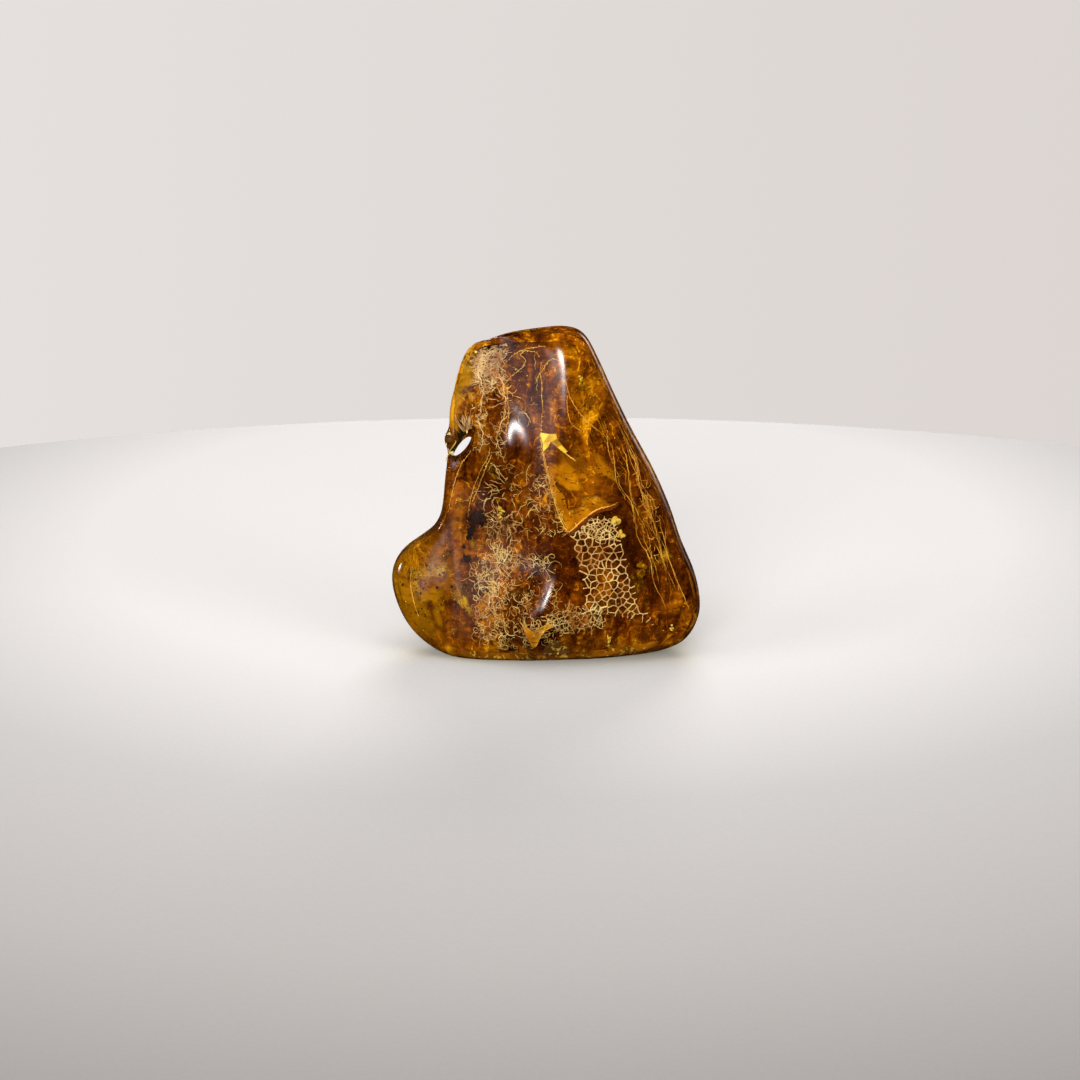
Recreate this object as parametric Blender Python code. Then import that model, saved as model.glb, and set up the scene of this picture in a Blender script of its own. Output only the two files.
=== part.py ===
"""A polished amber pebble: one clear stone that stands on a small flat spot.

+X is to the viewer's right, +Y goes away from the viewer and +Z is up. The origin is
under the middle of the stone, on the surface that it stands on. Sizes are in millimetres
until the mesh is filled in, and metres from there on.
"""

import math

import bmesh
import bpy
import numpy as np

MM = 0.001

# The body: an outline in the front view, and a thickness behind and in front of it.
HEART_X, HEART_Z = 0.0, 19.0
OUTLINE_XZ = (
    (22.8, 7.4), (22.0, 11.8), (19.9, 17.0), (18.2, 22.2), (15.8, 27.8),
    (12.6, 33.8), (9.9, 39.4), (7.6, 44.6), (5.5, 48.4), (2.6, 49.6),
    (-1.8, 49.5), (-6.6, 49.2), (-11.2, 48.0), (-13.3, 43.8), (-14.3, 38.2),
    (-14.3, 32.6), (-14.9, 26.8), (-15.5, 21.6), (-16.9, 18.6), (-19.4, 16.4),
    (-22.0, 14.3), (-23.0, 11.2), (-22.1, 7.4), (-20.0, 3.8), (-16.6, 0.8),
    (-12.2, -1.0), (-6.4, -1.6), (0.0, -1.6), (6.4, -1.2), (12.4, -0.3),
    (17.2, 0.6), (20.4, 2.0), (22.1, 4.3),
)
OUTLINE_SOFTNESS_DEG = 1.2
BODY_DEPTH_LOW, BODY_DEPTH_TOP = 22.0, 17.0
BODY_TOP_Z = 50.0
EDGE_POWER = 2.5
GROUND_SOFTNESS = 1.2

# Ground faces, worn round: which way each one faces, a point on it and its softness.
# Azimuth 0 faces the viewer and 90 faces +X.
FACETS = (
    # azimuth, elevation, (x, y, z), softness
    (-22, 8.0, (0.9, -9.0, 20.0), 0.55),  # front, left of the ridge
    (15, 4.6, (0.9, -9.0, 20.0), 0.55),  # front, right of the ridge
    (-18, 15, (2.6, -6.6, 40.0), 0.60),  # upper front, left of the ridge
    (17, 15, (2.6, -6.6, 40.0), 0.60),  # upper front, right of the ridge
    (-46, 32, (-10.0, -5.0, 45.8), 0.90),  # upper left shoulder
    (72, 24, (15.2, -5.2, 26.0), 0.45),  # right side
    (-15, 76, (-1.0, -1.5, 49.7), 0.50),  # crown
    (2, -28, (0.0, -9.2, 4.2), 0.80),  # front toe
    (2, -58, (0.0, -8.2, 0.7), 0.60),  # under the front toe
    (172, 5, (0.0, 8.8, 20.0), 0.90),  # back
    (205, 22, (-2.0, 7.4, 36.0), 0.90),  # upper back
    (180, -34, (0.0, 8.6, 4.4), 0.90),  # back heel
    (180, -62, (0.0, 7.6, 0.7), 0.70),  # under the back heel
)

# Swells and hollows: middle (x, z), half sizes, lean, height of the front and the back.
SWELLS = (
    (-19.4, 10.0, 5.6, 7.0, 0, 1.5, 1.2),  # the left lobe
    (-6.8, 33.4, 3.4, 5.2, -14, 1.7, 0.0),  # the swell beside the ridge
    (-0.7, 8.4, 4.2, 5.2, 2, 1.1, 0.0),  # the foot of the ridge
    (-13.6, 13.0, 2.2, 9.0, 6, -0.3, -0.4),  # the valley beside the lobe
    (9.0, 17.0, 7.0, 10.0, 12, 0.5, 0.8),  # the right cheek
    (-6.0, 19.0, 5.0, 7.0, 0, -0.4, 0.5),  # the left cheek
)

# The small hole through the left edge, with the knob on the strand beside it.
HOLE_X, HOLE_Z = -12.3, 31.4
HOLE_HALF_WIDTH, HOLE_HALF_LENGTH = 0.75, 2.3
HOLE_LEAN_DEG = 34
FUNNEL_HALF_WIDTH, FUNNEL_HALF_LENGTH = 2.6, 3.9
FUNNEL_SHARE = 0.62
KNOB_X, KNOB_Z = -14.2, 32.6
KNOB_RADIUS, KNOB_HEIGHT = 1.3, 0.7

# The mesh: a cube's faces, rounded to a ball, then drawn out to the stone.
CAGE_CUTS = 25
FINE_REACH = 4.6
CUTTER_SIDES = 20
CUTTER_LENGTH = 30.0


def bell(x, z, middle_x, middle_z, half_x, half_z, lean_deg=0.0):
    """1 at the middle, falling away smoothly; a positive lean tips the top to +X."""
    lean = math.radians(lean_deg)
    across = (x - middle_x) * math.cos(lean) - (z - middle_z) * math.sin(lean)
    along = (x - middle_x) * math.sin(lean) + (z - middle_z) * math.cos(lean)
    return np.exp(-((across / half_x) ** 2) - (along / half_z) ** 2)


def outline_radius(turn):
    """How far the outline lies from the heart in the direction turn.

    A closed curve runs smoothly through the outline's points, and a bell of
    OUTLINE_SOFTNESS_DEG wears it round.
    """
    points = np.array(OUTLINE_XZ) - (HEART_X, HEART_Z)
    before = np.roll(points, 1, axis=0)
    after = np.roll(points, -1, axis=0)
    beyond = np.roll(points, -2, axis=0)
    t = np.linspace(0, 1, 16, endpoint=False)[:, None, None]
    curve = points + t * (after - before) / 2
    curve = curve + t**2 * (before - 2.5 * points + 2 * after - beyond / 2)
    curve = curve + t**3 * (1.5 * (points - after) + (beyond - before) / 2)
    across, up = curve.reshape(-1, 2).T
    steps = 1440
    ring = np.linspace(-math.pi, math.pi, steps, endpoint=False)
    around = np.arctan2(up, across)
    order = np.argsort(around)
    reach = np.hypot(across, up)[order]
    dense = np.interp(ring, around[order], reach, period=2 * math.pi)
    waves = np.fft.rfftfreq(steps, 1 / steps)
    damping = np.exp(-0.5 * (waves * math.radians(OUTLINE_SOFTNESS_DEG)) ** 2)
    soft = np.fft.irfft(np.fft.rfft(dense) * damping, steps)
    return np.interp(turn, ring, soft, period=2 * math.pi)


def facing(azimuth_deg, elevation_deg):
    azimuth, elevation = math.radians(azimuth_deg), math.radians(elevation_deg)
    level = math.cos(elevation)
    return np.array(
        (math.sin(azimuth) * level, -math.cos(azimuth) * level, math.sin(elevation))
    )


def ground_off(points, azimuth, elevation, touch, softness):
    """What stands past the facet's plane is pressed back onto it, with a rounded edge."""
    normal = facing(azimuth, elevation)
    past = (points - np.array(touch)) @ normal
    pressed = softness * np.logaddexp(0, past / softness)
    return points - pressed[:, None] * normal


def rested(z):
    """The height z with what lies under the ground pressed flat, and no hard rim."""
    rise = np.clip(z / GROUND_SOFTNESS + 0.5, 0, 1)
    return GROUND_SOFTNESS * rise**2 / 2 + np.maximum(z - GROUND_SOFTNESS / 2, 0)


def stone_surface(directions):
    """The stone's surface in each direction from its heart, in millimetres."""
    level = np.hypot(directions[:, 0], directions[:, 2])
    turn = np.arctan2(directions[:, 2], directions[:, 0])
    fore = directions[:, 1]
    grow = (level**EDGE_POWER + np.abs(fore) ** EDGE_POWER) ** (-1 / EDGE_POWER)
    reach = outline_radius(turn) * grow * level
    x = HEART_X + reach * np.cos(turn)
    z = HEART_Z + reach * np.sin(turn)
    height = np.clip(z / BODY_TOP_Z, 0, 1)
    depth = BODY_DEPTH_LOW + (BODY_DEPTH_TOP - BODY_DEPTH_LOW) * height
    points = np.stack((x, grow * fore * depth / 2, z), axis=1)
    for azimuth, elevation, touch, softness in FACETS:
        points = ground_off(points, azimuth, elevation, touch, softness)
    x, y, z = points.T
    side = np.clip(fore / 0.35, -1, 1)
    for middle_x, middle_z, half_x, half_z, lean, front, back in SWELLS:
        height = np.where(side < 0, front, back)
        y = y + side * height * bell(x, z, middle_x, middle_z, half_x, half_z, lean)
    funnel = (HOLE_X, HOLE_Z, FUNNEL_HALF_WIDTH, FUNNEL_HALF_LENGTH, HOLE_LEAN_DEG)
    y = y * (1 - FUNNEL_SHARE * bell(x, z, *funnel))
    knob = KNOB_HEIGHT * bell(x, z, KNOB_X, KNOB_Z, KNOB_RADIUS, KNOB_RADIUS)
    x = x - knob
    y = y + side * knob
    return np.stack((x, y, rested(z)), axis=1)


def directions_of(bm):
    points = np.array([vert.co for vert in bm.verts])
    return points / np.linalg.norm(points, axis=1)[:, None]


def ball_cage():
    """A cube cut into even squares, with finer squares where the hole will be."""
    bm = bmesh.new()
    bmesh.ops.create_cube(bm, size=2)
    bmesh.ops.subdivide_edges(bm, edges=bm.edges, cuts=CAGE_CUTS, use_grid_fill=True)
    for vert in bm.verts:
        vert.co = [math.tan(c * math.pi / 4) for c in vert.co]
    places = stone_surface(directions_of(bm))
    away = np.hypot(places[:, 0] - HOLE_X, places[:, 2] - HOLE_Z)
    bm.verts.index_update()
    near = [
        edge
        for edge in bm.edges
        if all(away[vert.index] < FINE_REACH for vert in edge.verts)
    ]
    bmesh.ops.subdivide_edges(bm, edges=near, cuts=1, use_grid_fill=True)
    return bm


def amber_material():
    material = bpy.data.materials.new("amber")
    material.use_nodes = True
    shader = material.node_tree.nodes["Principled BSDF"]
    shader.inputs["Base Color"].default_value = (0.62, 0.25, 0.02, 1)
    shader.inputs["Metallic"].default_value = 0.0
    shader.inputs["Roughness"].default_value = 0.05
    shader.inputs["IOR"].default_value = 1.54
    shader.inputs["Transmission Weight"].default_value = 0.8
    return material


def collection_named(name):
    collection = bpy.data.collections.new(name)
    bpy.context.scene.collection.children.link(collection)
    return collection


def build_stone(collection):
    bm = ball_cage()
    places = stone_surface(directions_of(bm))
    middle = (places.min(axis=0) + places.max(axis=0)) / 2
    places[:, :2] -= middle[:2]
    for vert, place in zip(bm.verts, places):
        vert.co = place * MM
    bmesh.ops.triangulate(bm, faces=bm.faces)
    mesh = bpy.data.meshes.new("amber_pebble")
    bm.to_mesh(mesh)
    bm.free()
    mesh.shade_smooth()
    mesh.materials.append(amber_material())
    stone = bpy.data.objects.new("amber_pebble", mesh)
    collection.objects.link(stone)
    return stone, middle


def build_hole_cutter(collection, middle):
    """A slim oval rod through the stone's left edge, from front to back."""
    bm = bmesh.new()
    bmesh.ops.create_cone(
        bm,
        cap_ends=True,
        segments=CUTTER_SIDES,
        radius1=1,
        radius2=1,
        depth=CUTTER_LENGTH * MM,
    )
    bmesh.ops.scale(
        bm,
        vec=(HOLE_HALF_WIDTH * MM, HOLE_HALF_LENGTH * MM, 1),
        verts=bm.verts,
    )
    mesh = bpy.data.meshes.new("hole_cutter")
    bm.to_mesh(mesh)
    bm.free()
    cutter = bpy.data.objects.new("hole_cutter", mesh)
    cutter.rotation_euler = (math.pi / 2, math.radians(HOLE_LEAN_DEG), 0)
    cutter.location = ((HOLE_X - middle[0]) * MM, 0, HOLE_Z * MM)
    cutter.display_type = "WIRE"
    cutter.hide_render = True
    collection.objects.link(cutter)
    return cutter


def main():
    for old in list(bpy.data.objects):
        bpy.data.objects.remove(old)
    stone, middle = build_stone(collection_named("polished_amber_pebble"))
    cutter = build_hole_cutter(collection_named("cutters"), middle)
    hole = stone.modifiers.new("hole", "BOOLEAN")
    hole.operation = "DIFFERENCE"
    hole.object = cutter


main()
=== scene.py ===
# Polished amber pebble: the clear stone, what is sealed inside it, the table and the light.
import math
import bpy
import numpy as np
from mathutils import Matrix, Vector
from mathutils.geometry import delaunay_2d_cdt


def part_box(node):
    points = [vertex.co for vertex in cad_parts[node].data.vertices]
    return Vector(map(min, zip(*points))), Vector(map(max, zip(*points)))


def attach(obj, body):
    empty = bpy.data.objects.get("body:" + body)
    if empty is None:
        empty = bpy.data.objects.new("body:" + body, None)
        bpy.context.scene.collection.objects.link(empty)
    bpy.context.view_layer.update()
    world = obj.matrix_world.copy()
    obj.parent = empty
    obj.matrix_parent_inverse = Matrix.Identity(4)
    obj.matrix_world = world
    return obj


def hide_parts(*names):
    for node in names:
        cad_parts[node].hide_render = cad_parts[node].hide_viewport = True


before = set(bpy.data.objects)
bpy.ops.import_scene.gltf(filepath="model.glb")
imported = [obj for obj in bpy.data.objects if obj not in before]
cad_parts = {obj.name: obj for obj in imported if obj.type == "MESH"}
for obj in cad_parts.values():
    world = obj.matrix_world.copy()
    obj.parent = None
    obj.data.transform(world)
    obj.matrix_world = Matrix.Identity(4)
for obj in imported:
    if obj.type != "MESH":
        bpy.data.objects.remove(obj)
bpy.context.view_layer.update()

mm = 0.001
photoSize = 1080  # pixels each way
photoScale = 0.147  # mm to a pixel, at the stone's middle


# Form: the stone's surface, in mm, with the same outline, facets and swells as its solid
stone = {
    "heart": (0.0, 19.0),
    "outline": (
        (22.8, 7.4), (22.0, 11.8), (19.9, 17.0), (18.2, 22.2), (15.8, 27.8),
        (12.6, 33.8), (9.9, 39.4), (7.6, 44.6), (5.5, 48.4), (2.6, 49.6),
        (-1.8, 49.5), (-6.6, 49.2), (-11.2, 48.0), (-13.3, 43.8), (-14.3, 38.2),
        (-14.3, 32.6), (-14.9, 26.8), (-15.5, 21.6), (-16.9, 18.6), (-19.4, 16.4),
        (-22.0, 14.3), (-23.0, 11.2), (-22.1, 7.4), (-20.0, 3.8), (-16.6, 0.8),
        (-12.2, -1.0), (-6.4, -1.6), (0.0, -1.6), (6.4, -1.2), (12.4, -0.3),
        (17.2, 0.6), (20.4, 2.0), (22.1, 4.3),
    ),
    "outlineSoftness": 1.2,  # degrees
    "depthLow": 22.0,
    "depthTop": 17.0,
    "topZ": 50.0,
    "edgePower": 2.5,
    "groundSoftness": 1.2,
    "facets": (  # azimuth, elevation, a point on it, softness
        (-22, 8.0, (0.9, -9.0, 20.0), 0.55),
        (15, 4.6, (0.9, -9.0, 20.0), 0.55),
        (-18, 15, (2.6, -6.6, 40.0), 0.60),
        (17, 15, (2.6, -6.6, 40.0), 0.60),
        (-46, 32, (-10.0, -5.0, 45.8), 0.90),
        (72, 24, (15.2, -5.2, 26.0), 0.45),
        (-15, 76, (-1.0, -1.5, 49.7), 0.50),
        (2, -28, (0.0, -9.2, 4.2), 0.80),
        (2, -58, (0.0, -8.2, 0.7), 0.60),
        (172, 5, (0.0, 8.8, 20.0), 0.90),
        (205, 22, (-2.0, 7.4, 36.0), 0.90),
        (180, -34, (0.0, 8.6, 4.4), 0.90),
        (180, -62, (0.0, 7.6, 0.7), 0.70),
    ),
    "swells": (  # middle x and z, half sizes, lean, height in front and behind
        (-19.4, 10.0, 5.6, 7.0, 0, 1.5, 1.2),
        (-6.8, 33.4, 3.4, 5.2, -14, 1.7, 0.0),
        (-0.7, 8.4, 4.2, 5.2, 2, 1.1, 0.0),
        (-13.6, 13.0, 2.2, 9.0, 6, -0.3, -0.4),
        (9.0, 17.0, 7.0, 10.0, 12, 0.5, 0.8),
        (-6.0, 19.0, 5.0, 7.0, 0, -0.4, 0.5),
    ),
    "relief": (  # low swells that only the polish shows: middle, half sizes, lean, height
        (-2.4, 6.4, 3.4, 5.8, 4, 0.75),
        (-1.7, 13.0, 6.6, 10.0, 4, -0.55),
        (-1.2, 14.0, 2.2, 6.5, 5, -0.36),
        (-2.2, 24.5, 1.6, 4.0, 4, 0.10),
        (2.1, 44.4, 0.9, 4.5, 0, -0.02),
        (8.5, 27.0, 3.0, 4.0, 10, 0.18),
        (-10.5, 22.0, 2.2, 4.0, 10, 0.20),
        (14.0, 12.0, 2.4, 5.0, -16, -0.16),
    ),
    "hole": (-12.3, 31.4),
    "holeHalf": (0.75, 2.3),
    "holeMargin": 1.6,  # half sizes round the hole that the clouds keep out of
    "holeLean": 34,
    "funnelHalf": (2.6, 3.9),
    "funnelShare": 0.62,
    "knob": (-14.2, 32.6),
    "knobRadius": 1.3,
    "knobHeight": 0.7,
    "cells": 112,  # squares along each side of the rounded cube
}


# Bell: 1 at the middle, falling as e to the minus square of the distance in half sizes
def bell(x, z, middleX, middleZ, halfX, halfZ, lean=0.0):
    turn = math.radians(lean)
    across = (x - middleX) * math.cos(turn) - (z - middleZ) * math.sin(turn)
    along = (x - middleX) * math.sin(turn) + (z - middleZ) * math.cos(turn)
    return np.exp(-((across / halfX) ** 2) - (along / halfZ) ** 2)


# Smooth curve: a cubic between each two points whose slope at a point is half the step
# from the one before it to the one after it, read at even steps
def smoothLine(points, count):
    points = np.asarray(points, float)
    ends = np.concatenate((2 * points[:1] - points[1:2], points, 2 * points[-1:] - points[-2:-1]))
    place = np.linspace(0, len(points) - 1, count)
    span = np.minimum(place.astype(int), len(points) - 2)
    t = (place - span)[:, None]
    a, b, c, d = (ends[span + k] for k in range(4))
    bend = a - 2.5 * b + 2 * c - d / 2
    twist = 1.5 * (b - c) + (d - a) / 2
    return b + t * (c - a) / 2 + t**2 * bend + t**3 * twist


# Outline: the closed smooth curve as a distance from the heart by angle, with a bell over the angle
def outlineTable():
    points = np.array(stone["outline"]) - stone["heart"]
    closed = np.concatenate((points[-2:], points, points[:3]))
    across, up = smoothLine(closed, (len(closed) - 1) * 16 + 1)[32:-32].T
    ring = np.linspace(-math.pi, math.pi, 1440, endpoint=False)
    around = np.arctan2(up, across)
    order = np.argsort(around)
    dense = np.interp(ring, around[order], np.hypot(across, up)[order], period=2 * math.pi)
    waves = np.fft.rfftfreq(1440, 1 / 1440)
    damping = np.exp(-0.5 * (waves * math.radians(stone["outlineSoftness"])) ** 2)
    return ring, np.fft.irfft(np.fft.rfft(dense) * damping, 1440)


outlineAngles, outlineReach = outlineTable()


def outlineRadius(turn):
    return np.interp(turn, outlineAngles, outlineReach, period=2 * math.pi)


# Facet: what stands past the plane is moved back along its normal by softness times
# log(1 + e to the distance over softness)
def groundOff(points, azimuth, elevation, touch, softness):
    a, e = math.radians(azimuth), math.radians(elevation)
    normal = np.array((math.sin(a) * math.cos(e), -math.cos(a) * math.cos(e), math.sin(e)))
    past = (points - np.array(touch)) @ normal
    return points - (softness * np.logaddexp(0, past / softness))[:, None] * normal


# Stone: a direction from the heart is drawn out to the outline level with the view and to the
# half depth across it, as a superellipse; then come the facets, the swells and the flat foot
def stoneSurface(directions):
    level = np.hypot(directions[:, 0], directions[:, 2])
    turn = np.arctan2(directions[:, 2], directions[:, 0])
    fore = directions[:, 1]
    power = stone["edgePower"]
    grow = (level**power + np.abs(fore) ** power) ** (-1 / power)
    reach = outlineRadius(turn) * grow * level
    x = stone["heart"][0] + reach * np.cos(turn)
    z = stone["heart"][1] + reach * np.sin(turn)
    height = np.clip(z / stone["topZ"], 0, 1)
    depth = stone["depthLow"] + (stone["depthTop"] - stone["depthLow"]) * height
    points = np.stack((x, grow * fore * depth / 2, z), axis=1)
    for facet in stone["facets"]:
        points = groundOff(points, *facet)
    x, y, z = points.T
    side = np.clip(fore / 0.35, -1, 1)
    for middleX, middleZ, halfX, halfZ, lean, front, back in stone["swells"]:
        y = y + side * np.where(side < 0, front, back) * bell(x, z, middleX, middleZ, halfX, halfZ, lean)
    for *place, height in stone["relief"]:
        y = y + np.minimum(side, 0) * height * bell(x, z, *place)
    funnel = bell(x, z, *stone["hole"], *stone["funnelHalf"], stone["holeLean"])
    y = y * (1 - stone["funnelShare"] * funnel)
    knob = stone["knobHeight"] * bell(x, z, *stone["knob"], stone["knobRadius"], stone["knobRadius"])
    x = x - knob
    y = y + side * knob
    soft = stone["groundSoftness"]
    rise = np.clip(z / soft + 0.5, 0, 1)
    return np.stack((x, y, soft * rise**2 / 2 + np.maximum(z - soft / 2, 0)), axis=1)


# Ball: six square faces, each point (1, tan u, tan v) turned to its own axis and drawn in to length 1
def ballGrid(cells):
    steps = np.tan(np.linspace(-1, 1, cells + 1) * math.pi / 4)
    u, v = np.meshgrid(steps, steps, indexing="ij")
    one = np.ones_like(u)
    sides = ((one, u, v), (-one, v, u), (v, one, u), (u, -one, v), (u, v, one), (v, u, -one))
    points = np.concatenate([np.stack(side, -1).reshape(-1, 3) for side in sides])
    row = cells + 1
    corner = (np.arange(cells)[:, None] * row + np.arange(cells)).ravel()
    quad = np.stack((corner, corner + row, corner + row + 1, corner + 1), 1)
    quads = np.concatenate([quad + k * row * row for k in range(6)])
    _, first, same = np.unique(np.round(points, 6), axis=0, return_index=True, return_inverse=True)
    points = points[first]
    return points / np.linalg.norm(points, axis=1)[:, None], same.ravel()[quads]


nodeLow, nodeHigh = (np.array(corner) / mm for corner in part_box("amber_pebble"))
skinDirections, skinQuads = ballGrid(stone["cells"])
skinPoints = stoneSurface(skinDirections)
skinLow, skinHigh = skinPoints.min(axis=0), skinPoints.max(axis=0)
fit = np.minimum(1, (nodeHigh - nodeLow) / (skinHigh - skinLow))  # a thousandth smaller at most
shift = (nodeLow + nodeHigh) / 2 - fit * (skinLow + skinHigh) / 2
shift[2] = 0
heartX, heartZ = stone["heart"][0] + shift[0], stone["heart"][1]
holeX, holeZ = stone["hole"][0] + shift[0], stone["hole"][1]
holeLean = math.radians(stone["holeLean"])
print("form: the stone's surface, shifted by", np.round(shift, 3), "mm")


# Height maps: the mean y of the front and of the back surface over each small square of x and z
depthMap = {"square": 0.4, "low": (-25.0, -2.0), "count": (125, 132), "samples": 300}


def buildHeights():
    directions, _ = ballGrid(depthMap["samples"])
    points = stoneSurface(directions) * fit + shift
    column = ((points[:, 0] - depthMap["low"][0]) / depthMap["square"]).astype(int)
    row = ((points[:, 2] - depthMap["low"][1]) / depthMap["square"]).astype(int)
    flat = column * depthMap["count"][1] + row
    size = depthMap["count"][0] * depthMap["count"][1]
    maps = []
    for facing in (-1, 1):
        mine = directions[:, 1] * facing > 0
        count = np.bincount(flat[mine], minlength=size)
        total = np.bincount(flat[mine], weights=points[mine, 1], minlength=size)
        maps.append((total / np.maximum(count, 1)).reshape(depthMap["count"]))
    return maps


frontMap, backMap = buildHeights()


# Bilinear reading of a height map at any x and z
def heightAt(grid, x, z):
    across = np.clip((x - depthMap["low"][0]) / depthMap["square"] - 0.5, 0, depthMap["count"][0] - 1.001)
    up = np.clip((z - depthMap["low"][1]) / depthMap["square"] - 0.5, 0, depthMap["count"][1] - 1.001)
    i, j = across.astype(int), up.astype(int)
    s, t = across - i, up - j
    low = grid[i, j] * (1 - s) + grid[i + 1, j] * s
    high = grid[i, j + 1] * (1 - s) + grid[i + 1, j + 1] * s
    return low * (1 - t) + high * t


# Distance from the hole's middle across and along its lean, in its half sizes
def holeOval(x, z):
    across = (x - holeX) * math.cos(holeLean) - (z - holeZ) * math.sin(holeLean)
    along = (x - holeX) * math.sin(holeLean) + (z - holeZ) * math.cos(holeLean)
    across, along = across / stone["holeHalf"][0], along / stone["holeHalf"][1]
    return across, along, np.maximum(np.hypot(across, along), 1e-6)


# The way back from those half sizes to x and z
def holePlace(across, along):
    across, along = across * stone["holeHalf"][0], along * stone["holeHalf"][1]
    x = holeX + across * math.cos(holeLean) + along * math.sin(holeLean)
    return x, holeZ - across * math.sin(holeLean) + along * math.cos(holeLean)


# How near to the surface and the hole what is inside may come
margins = {
    "outline": 0.93,  # share of it
    "foot": 0.7,  # mm
    "hole": 1.8,  # of its half sizes
    "middle": 0.46,  # deepest place, as a share of the way through
}


# Keeps x and z inside a share of the outline, above the foot and round the hole
def keepIn(x, z, share):
    dx, dz = x - heartX, z - heartZ
    limit = share * outlineRadius(np.arctan2(dz, dx))
    pull = np.minimum(1, limit / np.maximum(np.hypot(dx, dz), 1e-6))
    x, z = heartX + dx * pull, np.maximum(heartZ + dz * pull, margins["foot"])
    across, along, away = holeOval(x, z)
    push = np.maximum(1, margins["hole"] / away)
    return holePlace(across * push, along * push)


# A point in the stone: so many mm behind the front surface, or before the back one if depth
# is negative, and never as far as halfway through
def inStone(flat, depth, share=margins["outline"]):
    x, z = keepIn(flat[..., 0], flat[..., 1], share)
    front, back = heightAt(frontMap, x, z), heightAt(backMap, x, z)
    most = margins["middle"] * (back - front)
    y = np.where(depth >= 0, front + np.minimum(depth, most), back + np.maximum(depth, -most))
    return np.stack((x, y, z), -1)


# Mesh from points in mm and arrays of faces, each array of one number of corners
def meshFrom(name, points, faces, material, smooth=True, attributes=None):
    mesh = bpy.data.meshes.new(name)
    corners = [face for group in faces for face in group.tolist()]
    mesh.from_pydata((np.asarray(points) * mm).tolist(), [], corners)
    for key, values in (attributes or {}).items():
        layer = mesh.attributes.new(key, "FLOAT", "POINT")
        layer.data.foreach_set("value", np.asarray(values, np.float32).ravel())
    if smooth:
        mesh.shade_smooth()
    mesh.materials.append(material)
    mesh.update()
    return mesh


def addPiece(name, mesh):
    piece = bpy.data.objects.new(name, mesh)
    bpy.context.scene.collection.objects.link(piece)
    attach(piece, "root")
    print("piece:", name, len(mesh.polygons), "faces")
    return piece


# Tubes: a small ring round each point of each path, in the plane across the path, and a
# face over each end. paths is (lines, points, 3) and radii is (lines, points)
def tubes(paths, radii, sides=5):
    lines, count = paths.shape[:2]
    along = np.gradient(paths, axis=1)
    along /= np.maximum(np.linalg.norm(along, axis=2), 1e-9)[..., None]
    first = np.cross(along, (0.08, 1.0, 0.05))
    first /= np.maximum(np.linalg.norm(first, axis=2), 1e-9)[..., None]
    second = np.cross(along, first)
    turn = np.arange(sides) * 2 * math.pi / sides
    ring = first[:, :, None] * np.cos(turn)[:, None] + second[:, :, None] * np.sin(turn)[:, None]
    points = paths[:, :, None] + ring * radii[:, :, None, None]
    start = (np.arange(lines) * count * sides)[:, None, None]
    here = start + (np.arange(count - 1) * sides)[None, :, None] + np.arange(sides)
    beside = start + (np.arange(count - 1) * sides)[None, :, None] + (np.arange(sides) + 1) % sides
    quads = np.stack((here, beside, beside + sides, here + sides), -1).reshape(-1, 4)
    opening = (start[:, 0] + np.arange(sides))[:, ::-1]
    closing = start[:, 0] + (count - 1) * sides + np.arange(sides)
    return points.reshape(-1, 3), [quads, opening, closing]


# The same faces for each of many copies, every copy with its own points
def repeated(faces, copies, size):
    return (faces[None] + (np.arange(copies) * size)[:, None, None]).reshape(-1, faces.shape[1])


# Grains: a ball of few faces, stretched along its own axes, turned any way and set at its place
def grains(centres, sizes, rng, cells=2):
    directions, quads = ballGrid(cells)
    count = len(centres)
    turns, _ = np.linalg.qr(rng.normal(size=(count, 3, 3)))
    turns *= np.sign(np.linalg.det(turns))[:, None, None]
    rough = 1 + 0.18 * rng.normal(size=(count, len(directions), 1)).clip(-1.5, 1.5) * (cells == 2)
    shaped = directions[None] * sizes[:, None, :] * rough
    points = np.einsum("nij,nkj->nki", turns, shaped) + centres[:, None]
    return points.reshape(-1, 3), [repeated(quads, count, len(directions))]


# Parts one after another, each with its faces counted on from the points before it
def joined(parts):
    starts = np.cumsum([0] + [len(points) for points, _ in parts])
    faces = [group + start for start, (_, groups) in zip(starts, parts) for group in groups]
    return np.concatenate([points for points, _ in parts]), faces


# Shader graphs: each function adds a node or a few to a material's tree
def newMaterial(name):
    material = bpy.data.materials.new(name)
    material.use_nodes = True
    tree = material.node_tree
    tree.nodes.clear()
    return material, tree, tree.nodes.new("ShaderNodeOutputMaterial")


def node(tree, kind, inputs=None, **settings):
    made = tree.nodes.new(kind)
    for key, value in settings.items():
        setattr(made, key, value)
    for key, value in (inputs or {}).items():
        if isinstance(value, bpy.types.NodeSocket):
            tree.links.new(value, made.inputs[key])
        else:
            made.inputs[key].default_value = value
    return made


def objectPlace(tree, stretch=(1, 1, 1), turn=(0, 0, 0), move=(0, 0, 0)):
    coords = node(tree, "ShaderNodeTexCoord").outputs["Object"]
    inputs = {"Vector": coords, "Location": move, "Rotation": turn, "Scale": stretch}
    return node(tree, "ShaderNodeMapping", inputs).outputs["Vector"]


def noise(tree, place, scale, detail=3.0, roughness=0.55, distortion=0.0):
    inputs = {"Vector": place, "Scale": scale, "Detail": detail, "Roughness": roughness}
    return node(tree, "ShaderNodeTexNoise", {**inputs, "Distortion": distortion}).outputs["Fac"]


def maths(tree, operation, a, b=0.0, c=0.0, clamp=False):
    return node(tree, "ShaderNodeMath", {0: a, 1: b, 2: c}, operation=operation, use_clamp=clamp).outputs[0]


# A value times a factor plus an offset
def scaled(tree, value, factor, offset, clamp=False):
    return maths(tree, "MULTIPLY_ADD", value, factor, offset, clamp)


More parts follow.
